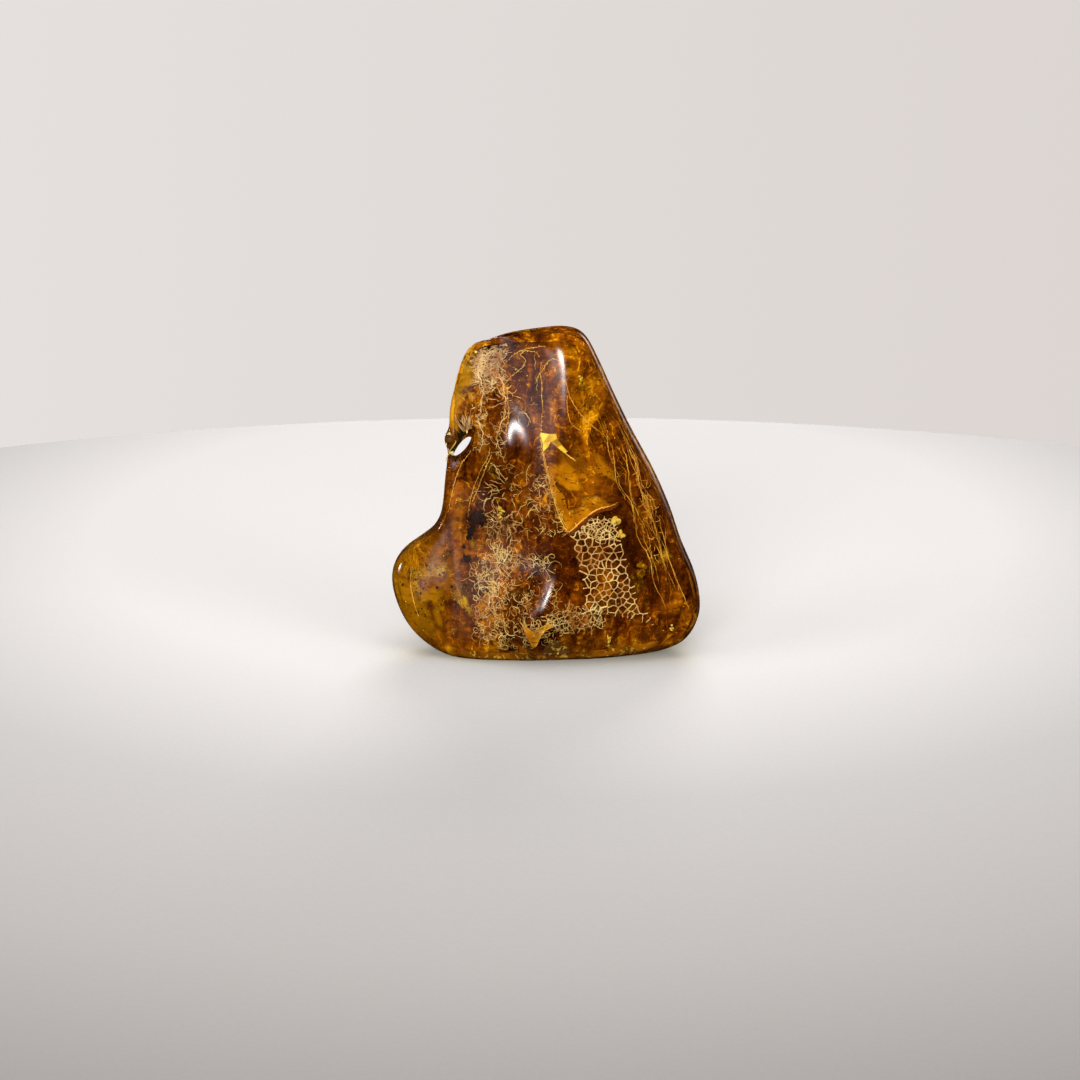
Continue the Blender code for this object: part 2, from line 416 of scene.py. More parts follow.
def attributeOf(tree, name):
    return node(tree, "ShaderNodeAttribute", attribute_name=name).outputs["Fac"]


def principled(material, tree, out, inputs):
    shader = node(tree, "ShaderNodeBsdfPrincipled", inputs)
    tree.links.new(shader.outputs[0], out.inputs["Surface"])
    return material


def grey(tree, value):
    return node(tree, "ShaderNodeCombineColor", {0: value, 1: value, 2: value}).outputs[0]


def mixColour(tree, share, a, b, blend="MIX"):
    made = node(tree, "ShaderNodeMix", {0: share, 6: a, 7: b}, data_type="RGBA", blend_type=blend)
    return made.outputs[2]


def ramp(tree, value, stops):
    made = node(tree, "ShaderNodeValToRGB", {"Fac": value})
    elements = made.color_ramp.elements
    while len(elements) < len(stops):
        elements.new(0.5)
    for element, (position, colour) in zip(elements, stops):
        element.position = position
        element.color = colour
    return made.outputs["Color"]


def linear(red, green, blue):  # a colour as a screen shows it, 0 to 255, to linear light
    value = np.array((red, green, blue)) / 255
    light = np.where(value <= 0.04045, value / 12.92, ((value + 0.055) / 1.055) ** 2.4)
    return (*light.tolist(), 1.0)


# Clear amber: glass with a faint wave in its polish and the resin's own absorption. Light from the
# lamps goes straight in
clear = {
    "tint": (1.0, 0.93, 0.80, 1),
    "roughness": 0.018,
    "ior": 1.54,
    "absorbColour": (0.96, 0.86, 0.20, 1),
    "absorbDensity": 400.0,  # to a metre
    "polishScale": 90.0,
    "polishHeight": 0.000004,
}


def clearAmber():
    material, tree, out = newMaterial("clearAmber")
    polish = noise(tree, objectPlace(tree), clear["polishScale"], 2.0)
    inputs = {"Strength": 1.0, "Distance": clear["polishHeight"], "Height": polish}
    bump = node(tree, "ShaderNodeBump", inputs)
    inputs = {
        "Base Color": clear["tint"],
        "Roughness": clear["roughness"],
        "IOR": clear["ior"],
        "Transmission Weight": 1.0,
        "Normal": bump.outputs["Normal"],
    }
    shader = node(tree, "ShaderNodeBsdfPrincipled", inputs)
    rays = node(tree, "ShaderNodeLightPath")
    through = node(tree, "ShaderNodeBsdfTransparent", {"Color": (1, 1, 1, 1)})
    inputs = {0: rays.outputs["Is Shadow Ray"], 1: shader.outputs[0], 2: through.outputs[0]}
    surface = node(tree, "ShaderNodeMixShader", inputs)
    inputs = {"Color": clear["absorbColour"], "Density": clear["absorbDensity"]}
    absorb = node(tree, "ShaderNodeVolumeAbsorption", inputs)
    tree.links.new(surface.outputs[0], out.inputs["Surface"])
    tree.links.new(absorb.outputs[0], out.inputs["Volume"])
    return material


# Hole: the stone less a slim oval rod, leaning as the hole does
def cutHole(skin):
    count, half = 40, 15.0
    turn = np.arange(count) * 2 * math.pi / count
    x, z = holePlace(np.cos(turn), np.sin(turn))
    points = np.concatenate([np.stack((x, np.full(count, y), z), 1) for y in (-half, half)])
    near = np.arange(count)
    walls = np.stack((near, (near + 1) % count, (near + 1) % count + count, near + count), 1)
    faces = [walls[:, ::-1], near[None], (near + count)[None, ::-1]]
    rod = bpy.data.objects.new("holeRod", meshFrom("holeRod", points, faces, skin.data.materials[0]))
    bpy.context.scene.collection.objects.link(rod)
    cut = skin.modifiers.new("hole", "BOOLEAN")
    cut.operation = "DIFFERENCE"
    cut.object = rod
    cut.solver = "EXACT"
    bpy.context.view_layer.update()
    done = bpy.data.meshes.new_from_object(skin.evaluated_get(bpy.context.evaluated_depsgraph_get()))
    skin.modifiers.clear()
    skin.data = done
    bpy.data.objects.remove(rod)
    done.shade_smooth()


skinMesh = meshFrom("amberSkin", skinPoints * fit + shift, [skinQuads], clearAmber())
skin = addPiece("amberSkin", skinMesh)
cutHole(skin)
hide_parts("amber_pebble")
print("skin:", len(skin.data.polygons), "faces after the hole")


# Flow layers: thin curved sheets at set depths under the front and the back, cloudy brown
# and gold, that let some of the light by
layers = {
    "depths": (1.5, 2.9, 4.6),  # mm under the surface
    "cover": (0.42, 0.62, 0.85),
    "turns": 170,
    "rings": 60,
    "reach": 0.965,  # of the outline
    "ramp": (
        (0.0, (0.008, 0.002, 0.0004, 1)),
        (0.25, (0.035, 0.007, 0.0008, 1)),
        (0.50, (0.130, 0.031, 0.0015, 1)),
        (0.75, (0.39, 0.125, 0.003, 1)),
        (1.0, (0.90, 0.48, 0.020, 1)),
    ),
    "tone": 0.475,
    "steps": (-0.06, 0.0, 0.10),  # change of tone from layer to layer
    "waves": 0.14,  # share of the depth
    "rimCover": 0.75,
    "olive": (0.44, 0.225, 0.004, 1),
    "oliveShare": 0.78,
    "clear": (-18.6, 9.6, 4.8, 6.2, 0),  # the lobe: middle, half sizes, lean
    "calm": (  # where the clouds are fainter: middle, half sizes, lean, share
        (-18.6, 10.0, 4.6, 6.0, 0, 0.62),
        (5.5, 28.0, 4.0, 5.0, 10, 0.5),
        (12.8, 15.0, 2.4, 7.5, -16, 0.6),
        (2.0, 14.0, 1.6, 6.0, 0, 0.4),
    ),
    "zones": (  # middle, half sizes, lean, change of tone, change of cover
        (-18.6, 10.0, 5.2, 6.6, 0, 0.16, -0.36),  # the lobe
        # Painted light: the thin left rim is made lighter, as if light shone through it from behind
        (-13.4, 38.0, 1.5, 5.0, 10, 0.50, -0.35),  # the bright left rim
        (-11.2, 40.5, 1.6, 3.6, 14, 0.20, 0.0),
        (6.4, 39.5, 3.8, 6.4, -22, 0.32, -0.15),  # upper right
        (5.5, 28.0, 4.6, 6.0, 10, 0.12, -0.2),  # behind the flake
        (4.0, 46.4, 4.0, 2.2, 0, 0.20, 0.0),
        (14.6, 28.5, 1.2, 4.5, -22, 0.26, 0.0),  # the right sliver
        (19.0, 9.0, 2.6, 5.0, -10, 0.08, 0.0),
        (-6.5, 25.5, 2.6, 4.0, 0, -0.12, 0.1),  # dark, left of the middle
        (0.8, 14.5, 2.2, 8.0, 0, -0.16, 0.1),  # dark, right of the ridge
        (13.0, 15.0, 2.0, 7.5, -16, -0.20, 0.1),  # dark, right of the net
        (-1.5, 42.5, 2.2, 4.0, 0, -0.14, 0.0),
        (-9.0, 24.5, 1.2, 4.0, 0, -0.14, 0.1),
        (-12.0, 19.0, 2.4, 6.5, 0, 0.14, 0.0),
        (-10.5, 10.0, 1.4, 5.0, 4, -0.10, 0.0),
        # Painted light: the strip over the foot is made lighter, a glow painted into the clouds
        (0.0, 1.7, 22.0, 1.7, 0, 0.42, 0.0),  # the bright strip over the foot
    ),
}


# Cloud finish: four noises set the tone, thin bright veins run where a fifth is near its middle,
# and the cloud covers in islands
def layerMaterial(name, index):
    material, tree, out = newMaterial(name)

    def drawn(stretch, turn, move, scale, detail, roughness, distortion):
        return noise(tree, objectPlace(tree, stretch, turn, move), scale, detail, roughness, distortion)

    away = (0.013 * index, 0, 0.02 * index)
    clouds = drawn((1.0, 1.0, 0.34), (0, 0.15 - 0.12 * index, 0), away, 230, 5.0, 0.62, 1.2)
    whorls = drawn((1, 1, 0.8), (0, 0.4, 0), (0.03 * index, 0, 0), 120, 4.0, 0.55, 2.0)
    flecks = drawn((0.7, 1, 1.5), (0, 0.3, 0), (0, 0, 0.01 * index), 1000, 3.0, 0.6, 0.4)
    streaks = drawn((1, 1, 0.10), (0, -0.12, 0), (0.05 * index, 0, 0), 520, 3.0, 0.6, 0.3)
    value = scaled(tree, clouds, 1.3, -0.65)
    for part, strength in ((whorls, 1.1), (flecks, 0.7), (streaks, 0.8)):
        value = maths(tree, "ADD", value, scaled(tree, part, strength, -strength / 2))
    lively = maths(tree, "SUBTRACT", 1.0, attributeOf(tree, "calm"))
    value = maths(tree, "MULTIPLY", value, lively)
    value = maths(tree, "ADD", value, attributeOf(tree, "tone"), clamp=True)
    bent = drawn((1, 1, 0.7), (0, 0.3 - 0.3 * index, 0), (0.07 * index, 0, 0), 190, 3.0, 0.6, 1.5)
    vein = scaled(tree, maths(tree, "ABSOLUTE", maths(tree, "SUBTRACT", bent, 0.5)), -70.0, 1.0, True)
    value = maths(tree, "ADD", value, maths(tree, "MULTIPLY", vein, 0.30), clamp=True)
    body = ramp(tree, value, layers["ramp"])
    body = mixColour(tree, attributeOf(tree, "olive"), body, layers["olive"])
    island = maths(tree, "ADD", scaled(tree, whorls, 9.0, -4.5), attributeOf(tree, "cover"), clamp=True)
    island = maths(tree, "MULTIPLY", island, scaled(tree, flecks, 1.4, 0.3), clamp=True)
    alpha = maths(tree, "MAXIMUM", island, maths(tree, "MULTIPLY", vein, 0.7))
    inputs = {"Base Color": body, "Roughness": 0.9, "Specular IOR Level": 0.0, "Alpha": alpha}
    return principled(material, tree, out, inputs)


# Fan and rings: faces for a middle point with rings of points round it
def ringFaces(rings, turns):
    near = 1 + np.arange(turns)
    fan = np.stack((np.zeros(turns, int), near % turns + 1, near), 1)
    ring = near[None] + (np.arange(rings - 1) * turns)[:, None]
    beside = (near % turns + 1)[None] + (np.arange(rings - 1) * turns)[:, None]
    return [fan, np.stack((ring, beside, beside + turns, ring + turns), -1).reshape(-1, 4)]


# Tone, cover, calm and olive at each point: the layer's own values plus the bells
def layerValues(x, z, index):
    tone = np.full(len(x), layers["tone"] + layers["steps"][index])
    cover = np.full(len(x), layers["cover"][index])
    calm = np.zeros(len(x))
    for *place, quiet in layers["calm"]:
        calm = np.maximum(calm, quiet * bell(x, z, *place))
    for *place, lighter, thicker in layers["zones"]:
        near = bell(x, z, *place)
        tone += lighter * near
        cover += thicker * near
    olive = layers["oliveShare"] * bell(x, z, *layers["clear"])
    return {"tone": tone, "cover": cover, "calm": calm, "olive": olive}


# Cloud piece: the points clear of the hole, and the faces that have only such points
def cloudPiece(name, points, groups, overHole, values, index):
    place = np.cumsum(~overHole) - 1
    faces = [place[group[~overHole[group].any(axis=1)]] for group in groups]
    attributes = {key: value[~overHole] for key, value in values.items()}
    mesh = meshFrom(name, points[~overHole], faces, layerMaterial(name, index), True, attributes)
    addPiece(name, mesh)


# Sheet: rings round the heart at even shares of the outline, at one depth with slow waves,
# covering more toward the rim
def layerSheet(name, index, side):
    turns, rings = layers["turns"], layers["rings"]
    turn = np.linspace(0, 2 * math.pi, turns, endpoint=False)
    share = np.linspace(0, 1, rings + 1)[1:] ** 0.8
    reach = layers["reach"] * share[:, None] * outlineRadius(turn)[None]
    x = np.concatenate(([0.0], (reach * np.cos(turn)).ravel())) + heartX
    z = np.concatenate(([0.0], (reach * np.sin(turn)).ravel())) + heartZ
    wave = np.sin(x * 0.55 + index * 1.7 + 0.4 * np.sin(z * 0.3))
    wave += np.sin(z * 0.33 + index * 2.3 + x * 0.2)
    depth = layers["depths"][index] * (1 + layers["waves"] * wave)
    points = inStone(np.stack((x, z), -1), side * depth, 0.97)
    values = layerValues(points[:, 0], points[:, 2], index)
    fromHeart = np.concatenate(([0.0], np.repeat(share, turns)))
    values["cover"] += layers["rimCover"] * np.clip((fromHeart - 0.86) / 0.10, 0, 1)
    overHole = holeOval(x, z)[2] < stone["holeMargin"]
    cloudPiece(name, points, ringFaces(rings, turns), overHole, values, index)


# Rim band: rows of points from the front layers to the back ones, all round at one share of the
# outline, standing out a little at mid depth
rimForm = {
    "turns": 300,
    "rows": 14,
    "reach": (0.94, 0.02),  # of the outline, and how much further at mid depth
    "inside": (1.0, 0.2),  # mm from the surfaces, but no more than this share of the thickness
    "cover": 0.6,  # more than the middle layer
}


def rimBand():
    turns, rows = rimForm["turns"], rimForm["rows"]
    turn = np.linspace(0, 2 * math.pi, turns, endpoint=False)
    t = np.linspace(0, 1, rows)[:, None]
    around = outlineRadius(turn)[None] * (rimForm["reach"][0] + rimForm["reach"][1] * (1 - (2 * t - 1) ** 2))
    x = (heartX + around * np.cos(turn)).ravel()
    z = np.maximum(heartZ + around * np.sin(turn), 0.9).ravel()
    front, back = heightAt(frontMap, x, z), heightAt(backMap, x, z)
    inside = np.minimum(rimForm["inside"][0], rimForm["inside"][1] * (back - front))
    y = front + inside + (back - front - 2 * inside) * np.repeat(t.ravel(), turns)
    here = np.arange(turns) + (np.arange(rows - 1) * turns)[:, None]
    beside = (np.arange(turns) + 1) % turns + (np.arange(rows - 1) * turns)[:, None]
    quads = np.stack((here, here + turns, beside + turns, beside), -1).reshape(-1, 4)
    values = layerValues(x, z, 1)
    values["cover"] += rimForm["cover"]
    overHole = holeOval(x, z)[2] < stone["holeMargin"]
    cloudPiece("rimLayer", np.stack((x, y, z), 1), [quads], overHole, values, 1)


rimBand()
for index in range(len(layers["depths"])):
    layerSheet(f"frontLayer{index + 1}", index, 1)
    layerSheet(f"backLayer{index + 1}", index, -1)


# Strand finish: dry, pale and rough, with a slow change of tone along it
def strandMaterial(name, dark, light, scale=700, roughness=0.55):
    material, tree, out = newMaterial(name)
    quick = noise(tree, objectPlace(tree), scale, 3.0, 0.6)
    slow = noise(tree, objectPlace(tree), scale / 4, 2.0, 0.5)
    tone = scaled(tree, slow, 0.7, scaled(tree, quick, 0.6, -0.15))
    body = ramp(tree, tone, ((0.32, dark), (0.62, light)))
    inputs = {"Base Color": body, "Roughness": roughness, "Specular IOR Level": 0.3}
    return principled(material, tree, out, inputs)


strandPale = strandMaterial("paleStrand", (0.46, 0.20, 0.07, 1), (1.0, 0.80, 0.56, 1), 900)
strandGold = strandMaterial("goldStrand", (0.55, 0.21, 0.02, 1), (1.0, 0.68, 0.20, 1), 900)
strandOrange = strandMaterial("orangeStrand", (0.40, 0.12, 0.010, 1), (1.0, 0.56, 0.13, 1), 900)
darkDebris = strandMaterial("darkDebris", (0.002, 0.001, 0.001, 1), (0.020, 0.008, 0.004, 1), 1500, 0.9)


def finePiece(name, parts, material, smooth=True):
    points, faces = joined(parts)
    return addPiece(name, meshFrom(name, points, faces, material, smooth))


# One value for each line: drawn evenly between the two of a pair, or given as it is
def drawn(value, count, rng):
    if isinstance(value, tuple):
        value = rng.uniform(*value, count)
    return np.reshape(value, (-1, 1))


# Wandering lines: the heading is a first angle plus a running sum of small turns and a steady curl,
# and each point is the running sum of steps along the heading
def wander(starts, heading, length, rng, points=9, waver=0.35, curl=0.0):
    count = len(starts)
    heading, length = drawn(heading, count, rng), drawn(length, count, rng)
    turns = rng.normal(0, waver, (count, points - 1)) + np.reshape(curl, (-1, 1))
    angle = heading + np.cumsum(turns, axis=1)
    steps = length[..., None] / (points - 1) * np.stack((np.cos(angle), np.sin(angle)), -1)
    return starts[:, None] + np.concatenate((np.zeros((count, 1, 2)), np.cumsum(steps, axis=1)), 1)


# A line in the stone: its x and z, a depth that wavers slowly along it, and a thickness that
# tapers to the ends
def strands(flat, depth, thickness, rng, waver=0.25, taper=0.5, sides=5):
    count, points = flat.shape[:2]
    depth, thickness = drawn(depth, count, rng), drawn(thickness, count, rng)
    drift = np.cumsum(rng.normal(0, waver / math.sqrt(points), (count, points)), axis=1)
    place = inStone(flat, depth + drift)
    shape = 1 - taper * np.abs(np.linspace(-1, 1, points)) ** 2.5
    radii = thickness / 2 * shape * (1 + 0.25 * rng.normal(size=(count, points)).clip(-1, 1))
    return tubes(place, radii, sides)


# A drawn line as one strand, shaken a little along its way
def shaken(points, count, amount, rng):
    return smoothLine(points, count)[None] + rng.normal(0, amount, (1, count, 2))


# Points at random inside a polygon: the sum of turns round a point is odd inside
def insidePolygon(points, polygon):
    corner = np.asarray(polygon, float)
    following = np.roll(corner, -1, axis=0)
    x, z = points[:, 0, None], points[:, 1, None]
    spans = (corner[:, 1] > z) != (following[:, 1] > z)
    rise = following[:, 1] - corner[:, 1]
    share = (z - corner[:, 1]) / np.where(rise == 0, 1e-9, rise)
    cross = corner[:, 0] + share * (following[:, 0] - corner[:, 0])
    return (spans & (x < cross)).sum(axis=1) % 2 == 1


def scatter(polygon, count, rng):
    low, high = np.min(polygon, axis=0), np.max(polygon, axis=0)
    points = rng.uniform(low, high, (count * 6, 2))
    return points[insidePolygon(points, polygon)][:count]


# Net: points on a shaken grid are joined in triangles, and each strand of the net runs
# between the circle centres of two triangles that share a side
def netLines(polygon, spacing, rng, points=6, shake=0.45, bend=0.06):
    low, high = np.min(polygon, axis=0) - 2 * spacing, np.max(polygon, axis=0) + 2 * spacing
    columns, rows = np.arange(low[0], high[0], spacing), np.arange(low[1], high[1], spacing * 0.9)
    across, up = np.meshgrid(columns, rows, indexing="ij")
    across[:, ::2] += spacing / 2
    seeds = np.stack((across, up), -1).reshape(-1, 2)
    seeds = seeds + rng.uniform(-shake, shake, seeds.shape) * spacing
    made = delaunay_2d_cdt([Vector(seed) for seed in seeds], [], [], 0, 1e-6)
    corners = np.array([vert[:] for vert in made[0]])
    triangles = np.array([face for face in made[2] if len(face) == 3])
    a, b, c = (corners[triangles[:, k]] for k in range(3))
    b, c = b - a, c - a
    area = 2 * (b[:, 0] * c[:, 1] - b[:, 1] * c[:, 0])
    bb, cc = (b**2).sum(1), (c**2).sum(1)
    aside = (c[:, 1] * bb - b[:, 1] * cc) / area
    over = (b[:, 0] * cc - c[:, 0] * bb) / area
    centre = a + np.stack((aside, over), 1)
    sides = np.sort(np.concatenate([triangles[:, (k, (k + 1) % 3)] for k in range(3)]), axis=1)
    owner = np.tile(np.arange(len(triangles)), 3)
    key = sides[:, 0] * len(corners) + sides[:, 1]
    order = np.argsort(key, kind="stable")
    same = key[order][1:] == key[order][:-1]
    one, other = owner[order][:-1][same], owner[order][1:][same]
    start, end = centre[one], centre[other]
    span = np.linalg.norm(end - start, axis=1)
    kept = (span < 2.4 * spacing) & (span > 0.04 * spacing) & insidePolygon((start + end) / 2, polygon)
    start, end = start[kept], end[kept]
    t = np.linspace(0, 1, points)[None, :, None]
    across = np.stack((-(end - start)[:, 1], (end - start)[:, 0]), 1)[:, None]
    sag = rng.normal(0, bend, (len(start), 1, 1))
    sway = np.sin(math.pi * t) * sag
    sway = sway + np.sin(2 * math.pi * t) * rng.normal(0, bend / 2, (len(start), 1, 1))
    return start[:, None] * (1 - t) + end[:, None] * t + across * sway


# Leaf net: the clean one low in the front, denser at its top
leafNet = {
    "edge": ((3.0, 21.2), (6.5, 22.6), (9.7, 22.4), (11.0, 18.0), (12.2, 13.5), (13.8, 8.6),
             (16.4, 5.2), (14.2, 6.6), (11.5, 7.6), (8.5, 8.0), (5.8, 8.4), (5.6, 12.0), (4.6, 16.5)),
    "top": ((4.2, 20.6), (6.5, 22.6), (9.7, 22.4), (10.6, 19.2), (8.0, 18.6)),
    "spacing": 1.04,
    "thickness": 0.15,
    "topThickness": 0.12,
    "depth": 0.9,
}


def buildLeafNet():
    rng = np.random.default_rng(11)
    wide = netLines(leafNet["edge"], leafNet["spacing"], rng)
    fine = netLines(leafNet["top"], leafNet["spacing"] * 0.55, rng)
    thickness = leafNet["thickness"] * rng.uniform(0.75, 1.3, len(wide))
    parts = [
        strands(wide, leafNet["depth"], thickness, rng, 0.05, -0.25, 6),
        strands(fine, leafNet["depth"] + 0.2, leafNet["topThickness"], rng, 0.1, 0.0),
    ]
    finePiece("leafNet", parts, strandPale)


# Crystal column: two upright strands with spiky branches, thick at the top
column = {
    "strands": (
        ((-9.2, 46.0), (-9.8, 43.0), (-9.0, 40.0), (-9.6, 36.5), (-9.0, 33.5), (-9.6, 31.2)),
        ((-6.6, 46.4), (-6.9, 43.5), (-5.9, 40.5), (-6.0, 37.0), (-6.9, 34.0), (-6.2, 31.6)),
        ((-8.0, 46.2), (-8.4, 43.6), (-7.6, 41.6), (-8.4, 39.8)),
    ),
    "branches": 420,
    "twigs": 460,
    "thickness": 0.17,
    "depth": 0.9,
}


def buildColumn():
    rng = np.random.default_rng(23)
    lines = np.stack([smoothLine(line, 60) for line in column["strands"]])
    lines = lines + rng.normal(0, 0.09, lines.shape)
    parts = [strands(lines, column["depth"], column["thickness"], rng, 0.3, 0.3, 6)]
    count = column["branches"]
    pick = rng.integers(0, len(lines), count)
    along = (rng.uniform(0, 1, count) ** 1.4 * 59).astype(int)
    starts = lines[pick, along] + rng.normal(0, 0.25, (count, 2))
    heading = rng.choice((0.0, math.pi), count) + rng.normal(0.25, 0.8, count)
    length = rng.uniform(0.5, 2.0, count) * (1 - 0.45 * along / 59)
    spikes = wander(starts, heading, length, rng, 7, 0.28)
    depth = column["depth"] + rng.uniform(-0.4, 1.2, count)
    parts.append(strands(spikes, depth, (0.06, 0.15), rng, 0.3, 0.75))
    twigs = rng.integers(0, count, column["twigs"])
    starts = spikes[twigs, rng.integers(2, 7, column["twigs"])]
    heading = heading[twigs] + rng.choice((-0.9, 0.9), column["twigs"])
    short = wander(starts, heading, (0.2, 0.7), rng, 4, 0.3)
    parts.append(strands(short, depth[twigs], (0.05, 0.10), rng, 0.15, 0.7, 4))
    finePiece("crystalColumn", parts, strandPale)


# Root tangle: curly threads and upright ones in the lower left of the front, tufts, and two nets
tangle = {
    "low": (
        (-11.2, 14.5), (-8.0, 16.6), (-3.7, 17.2), (0.5, 16.8), (1.8, 12.0), (1.2, 4.8),
        (-3.8, 2.8), (-9.9, 3.4),
    ),
    "rise": ((-8.4, 22.5), (-4.4, 23.2), (-3.6, 17.0), (-4.2, 10.0), (-7.6, 8.0), (-8.8, 15.0)),
    "foot": ((-0.3, 7.9), (3.4, 10.0), (5.6, 9.2), (8.1, 9.0), (8.3, 6.0), (2.0, 5.2)),
    "hatch": ((-3.3, 28.4), (0.9, 28.8), (2.0, 24.0), (2.2, 19.7), (-0.8, 19.6), (-1.6, 24.0)),
    "hooks": ((-9.5, 31.0), (-1.5, 30.0), (-1.0, 17.5), (-5.0, 16.0), (-9.0, 20.0)),
    "shoulder": ((-6.0, 43.0), (-1.0, 45.0), (-0.8, 37.0), (-5.0, 34.5)),
    "curls": 330,
    "uprights": 170,
    "tufts": (  # where, heading, count, longest, waver
        ("hatch", 0.6, 110, 2.2, 0.3),
        ("foot", 1.2, 150, 1.6, 0.3),
        ("hooks", 1.57, 80, 4.5, 0.55),
        ("shoulder", 1.9, 22, 4.0, 0.4),
    ),
    "depth": 1.0,
}


def buildTangle():
    rng = np.random.default_rng(37)
    starts = scatter(tangle["low"], tangle["curls"], rng)
    curl = rng.choice((-1, 1), len(starts)) * rng.uniform(0.15, 0.75, len(starts))
    loops = wander(starts, (0, 6.28), (0.8, 3.2), rng, 11, 0.3, curl)
    depth = tangle["depth"] + rng.uniform(-0.4, 1.6, len(starts))
    parts = [strands(loops, depth, (0.05, 0.13), rng, 0.4, 0.5)]
    starts = scatter(tangle["rise"], tangle["uprights"], rng)
    heading = rng.choice((1.57, -1.57), len(starts)) + rng.normal(0, 0.45, len(starts))
    upright = wander(starts, heading, (0.8, 3.0), rng, 10, 0.32)
    depth = tangle["depth"] + rng.uniform(-0.3, 1.2, len(starts))
    parts.append(strands(upright, depth, (0.05, 0.12), rng, 0.3, 0.5))
    for where, lean, count, longest, waver in tangle["tufts"]:
        starts = scatter(tangle[where], count, rng)
        heading = rng.choice((lean, lean + 1.7), len(starts)) + rng.normal(0, 0.25, len(starts))
        length = longest * rng.uniform(0.2, 1.0, len(starts)) ** 1.5
        short = wander(starts, heading, length, rng, 10, waver)
        depth = tangle["depth"] + rng.uniform(-0.2, 0.9, len(starts))
        parts.append(strands(short, depth, (0.05, 0.11), rng, 0.2, 0.6))
    net = netLines(tangle["low"], 1.0, rng)
    net = net[rng.uniform(size=len(net)) < 0.55]
    parts.append(strands(net, 1.7, (0.05, 0.11), rng, 0.3, 0.2))
    net = netLines(tangle["foot"], 0.8, rng)
    parts.append(strands(net, 1.1, (0.07, 0.14), rng, 0.2, 0.1))
    finePiece("rootTangle", parts, strandPale)


# Filaments: single threads, each along its own route, with beads on them
filaments = {
    "pale": (
        ((-6.4, 43.6), (-5.4, 44.9), (-4.4, 45.8), (-3.4, 46.4), (-2.2, 46.8), (0.0, 47.2)),
        (
            (-5.9, 41.3), (-5.0, 42.6), (-4.0, 43.4), (-3.2, 44.2), (-2.9, 45.2), (-3.6, 45.8),
            (-2.8, 46.4), (-1.4, 46.3), (-0.9, 45.8),
        ),
        ((-0.6, 44.9), (-0.7, 43.4), (-0.5, 41.8), (-0.5, 40.0), (-0.3, 38.3), (-0.5, 36.8), (-0.6, 35.4)),
        ((-1.4, 41.9), (-0.9, 43.2), (-0.2, 44.2), (0.4, 45.2), (1.2, 45.6), (2.0, 45.3)),
        ((-5.4, 41.4), (-5.5, 39.4), (-5.3, 37.2), (-5.7, 35.2), (-5.6, 33.8)),
        ((-11.4, 31.0), (-12.6, 28.4), (-13.4, 26.0), (-14.2, 22.0)),
        ((-8.2, 30.6), (-9.6, 28.0), (-10.8, 24.6), (-11.4, 21.0)),
        ((-10.6, 24.0), (-9.8, 26.0), (-8.6, 29.2), (-7.8, 31.2)),
    ),
    "orange": (
        ((2.8, 42.7), (3.2, 41.2), (3.6, 39.9), (4.6, 38.2), (5.6, 37.0), (8.3, 34.4)),
        ((3.0, 41.0), (3.1, 38.6), (3.6, 36.6), (5.0, 35.4)),
        ((-19.6, 14.0), (-19.8, 11.0), (-19.2, 8.0), (-18.4, 5.4)),
        ((-2.6, 20.6), (-2.2, 16.0), (-1.6, 12.0)),
    ),
    "depth": 0.7,
}


def buildFilaments():
    rng = np.random.default_rng(41)
    for name, thickness, material in (("pale", 0.085, strandGold), ("orange", 0.13, strandOrange)):
        lines = np.stack([smoothLine(line, 40) for line in filaments[name]])
        lines = lines + rng.normal(0, 0.03, lines.shape)
        depth = filaments["depth"] + rng.uniform(0, 0.5, len(lines))
        parts = [strands(lines, depth, thickness, rng, 0.2, 0.4, 6)]
        beads = lines[:, ::3].reshape(-1, 2)
        beads = beads + rng.normal(0, 0.05, beads.shape)
        sizes = rng.uniform(0.05, 0.11, (len(beads), 3))
        parts.append(grains(inStone(beads, filaments["depth"] + 0.2), sizes, rng))
        finePiece(f"{name}Filaments", parts, material)


# Flow strands: long wavy threads that follow the right edge, with a fine net among them
flowStrands = {
    "route": (
        (9.6, 37.0), (10.8, 33.5), (12.3, 28.5), (13.9, 24.0), (15.4, 19.5), (17.4, 12.8), (19.2, 6.5),
    ),
    "count": 26,
    "spread": 2.3,
    "net": ((12.6, 29.0), (14.6, 28.6), (16.6, 21.0), (17.6, 15.5), (15.6, 15.0), (14.0, 19.5)),
}


def buildFlowStrands():
    rng = np.random.default_rng(53)
    route = smoothLine(flowStrands["route"], 46)
    count = flowStrands["count"]
    offset = rng.uniform(-1, 0.8, count) * flowStrands["spread"]
    t = np.linspace(0, 1, 46)
    phase = rng.uniform(0, 6.28, (count, 1))
    sway = 0.28 * np.sin(t * rng.uniform(14, 34, (count, 1)) + phase) + 0.3 * np.sin(t * 7 + 2 * phase)
    lines = route[None] + np.stack((offset[:, None] + sway, 0.2 * sway), -1)
    first = rng.uniform(0, 0.6, count)
    span = rng.uniform(0.25, 0.6, count)
    place = first[:, None] + span[:, None] * np.linspace(0, 1, 24)
    index = np.clip((place * 45).astype(int), 0, 45)
    lines = np.take_along_axis(lines, index[..., None], axis=1)
    lines = lines + rng.normal(0, 0.05, lines.shape)
    parts = [strands(lines, (0.6, 2.2), (0.05, 0.13), rng, 0.4, 0.5)]
    net = netLines(flowStrands["net"], 0.95, rng)
    net = net[rng.uniform(size=len(net)) < 0.4]
    parts.append(strands(net, 1.0, (0.05, 0.10), rng, 0.2, 0.1))
    finePiece("flowStrands", parts, strandOrange)
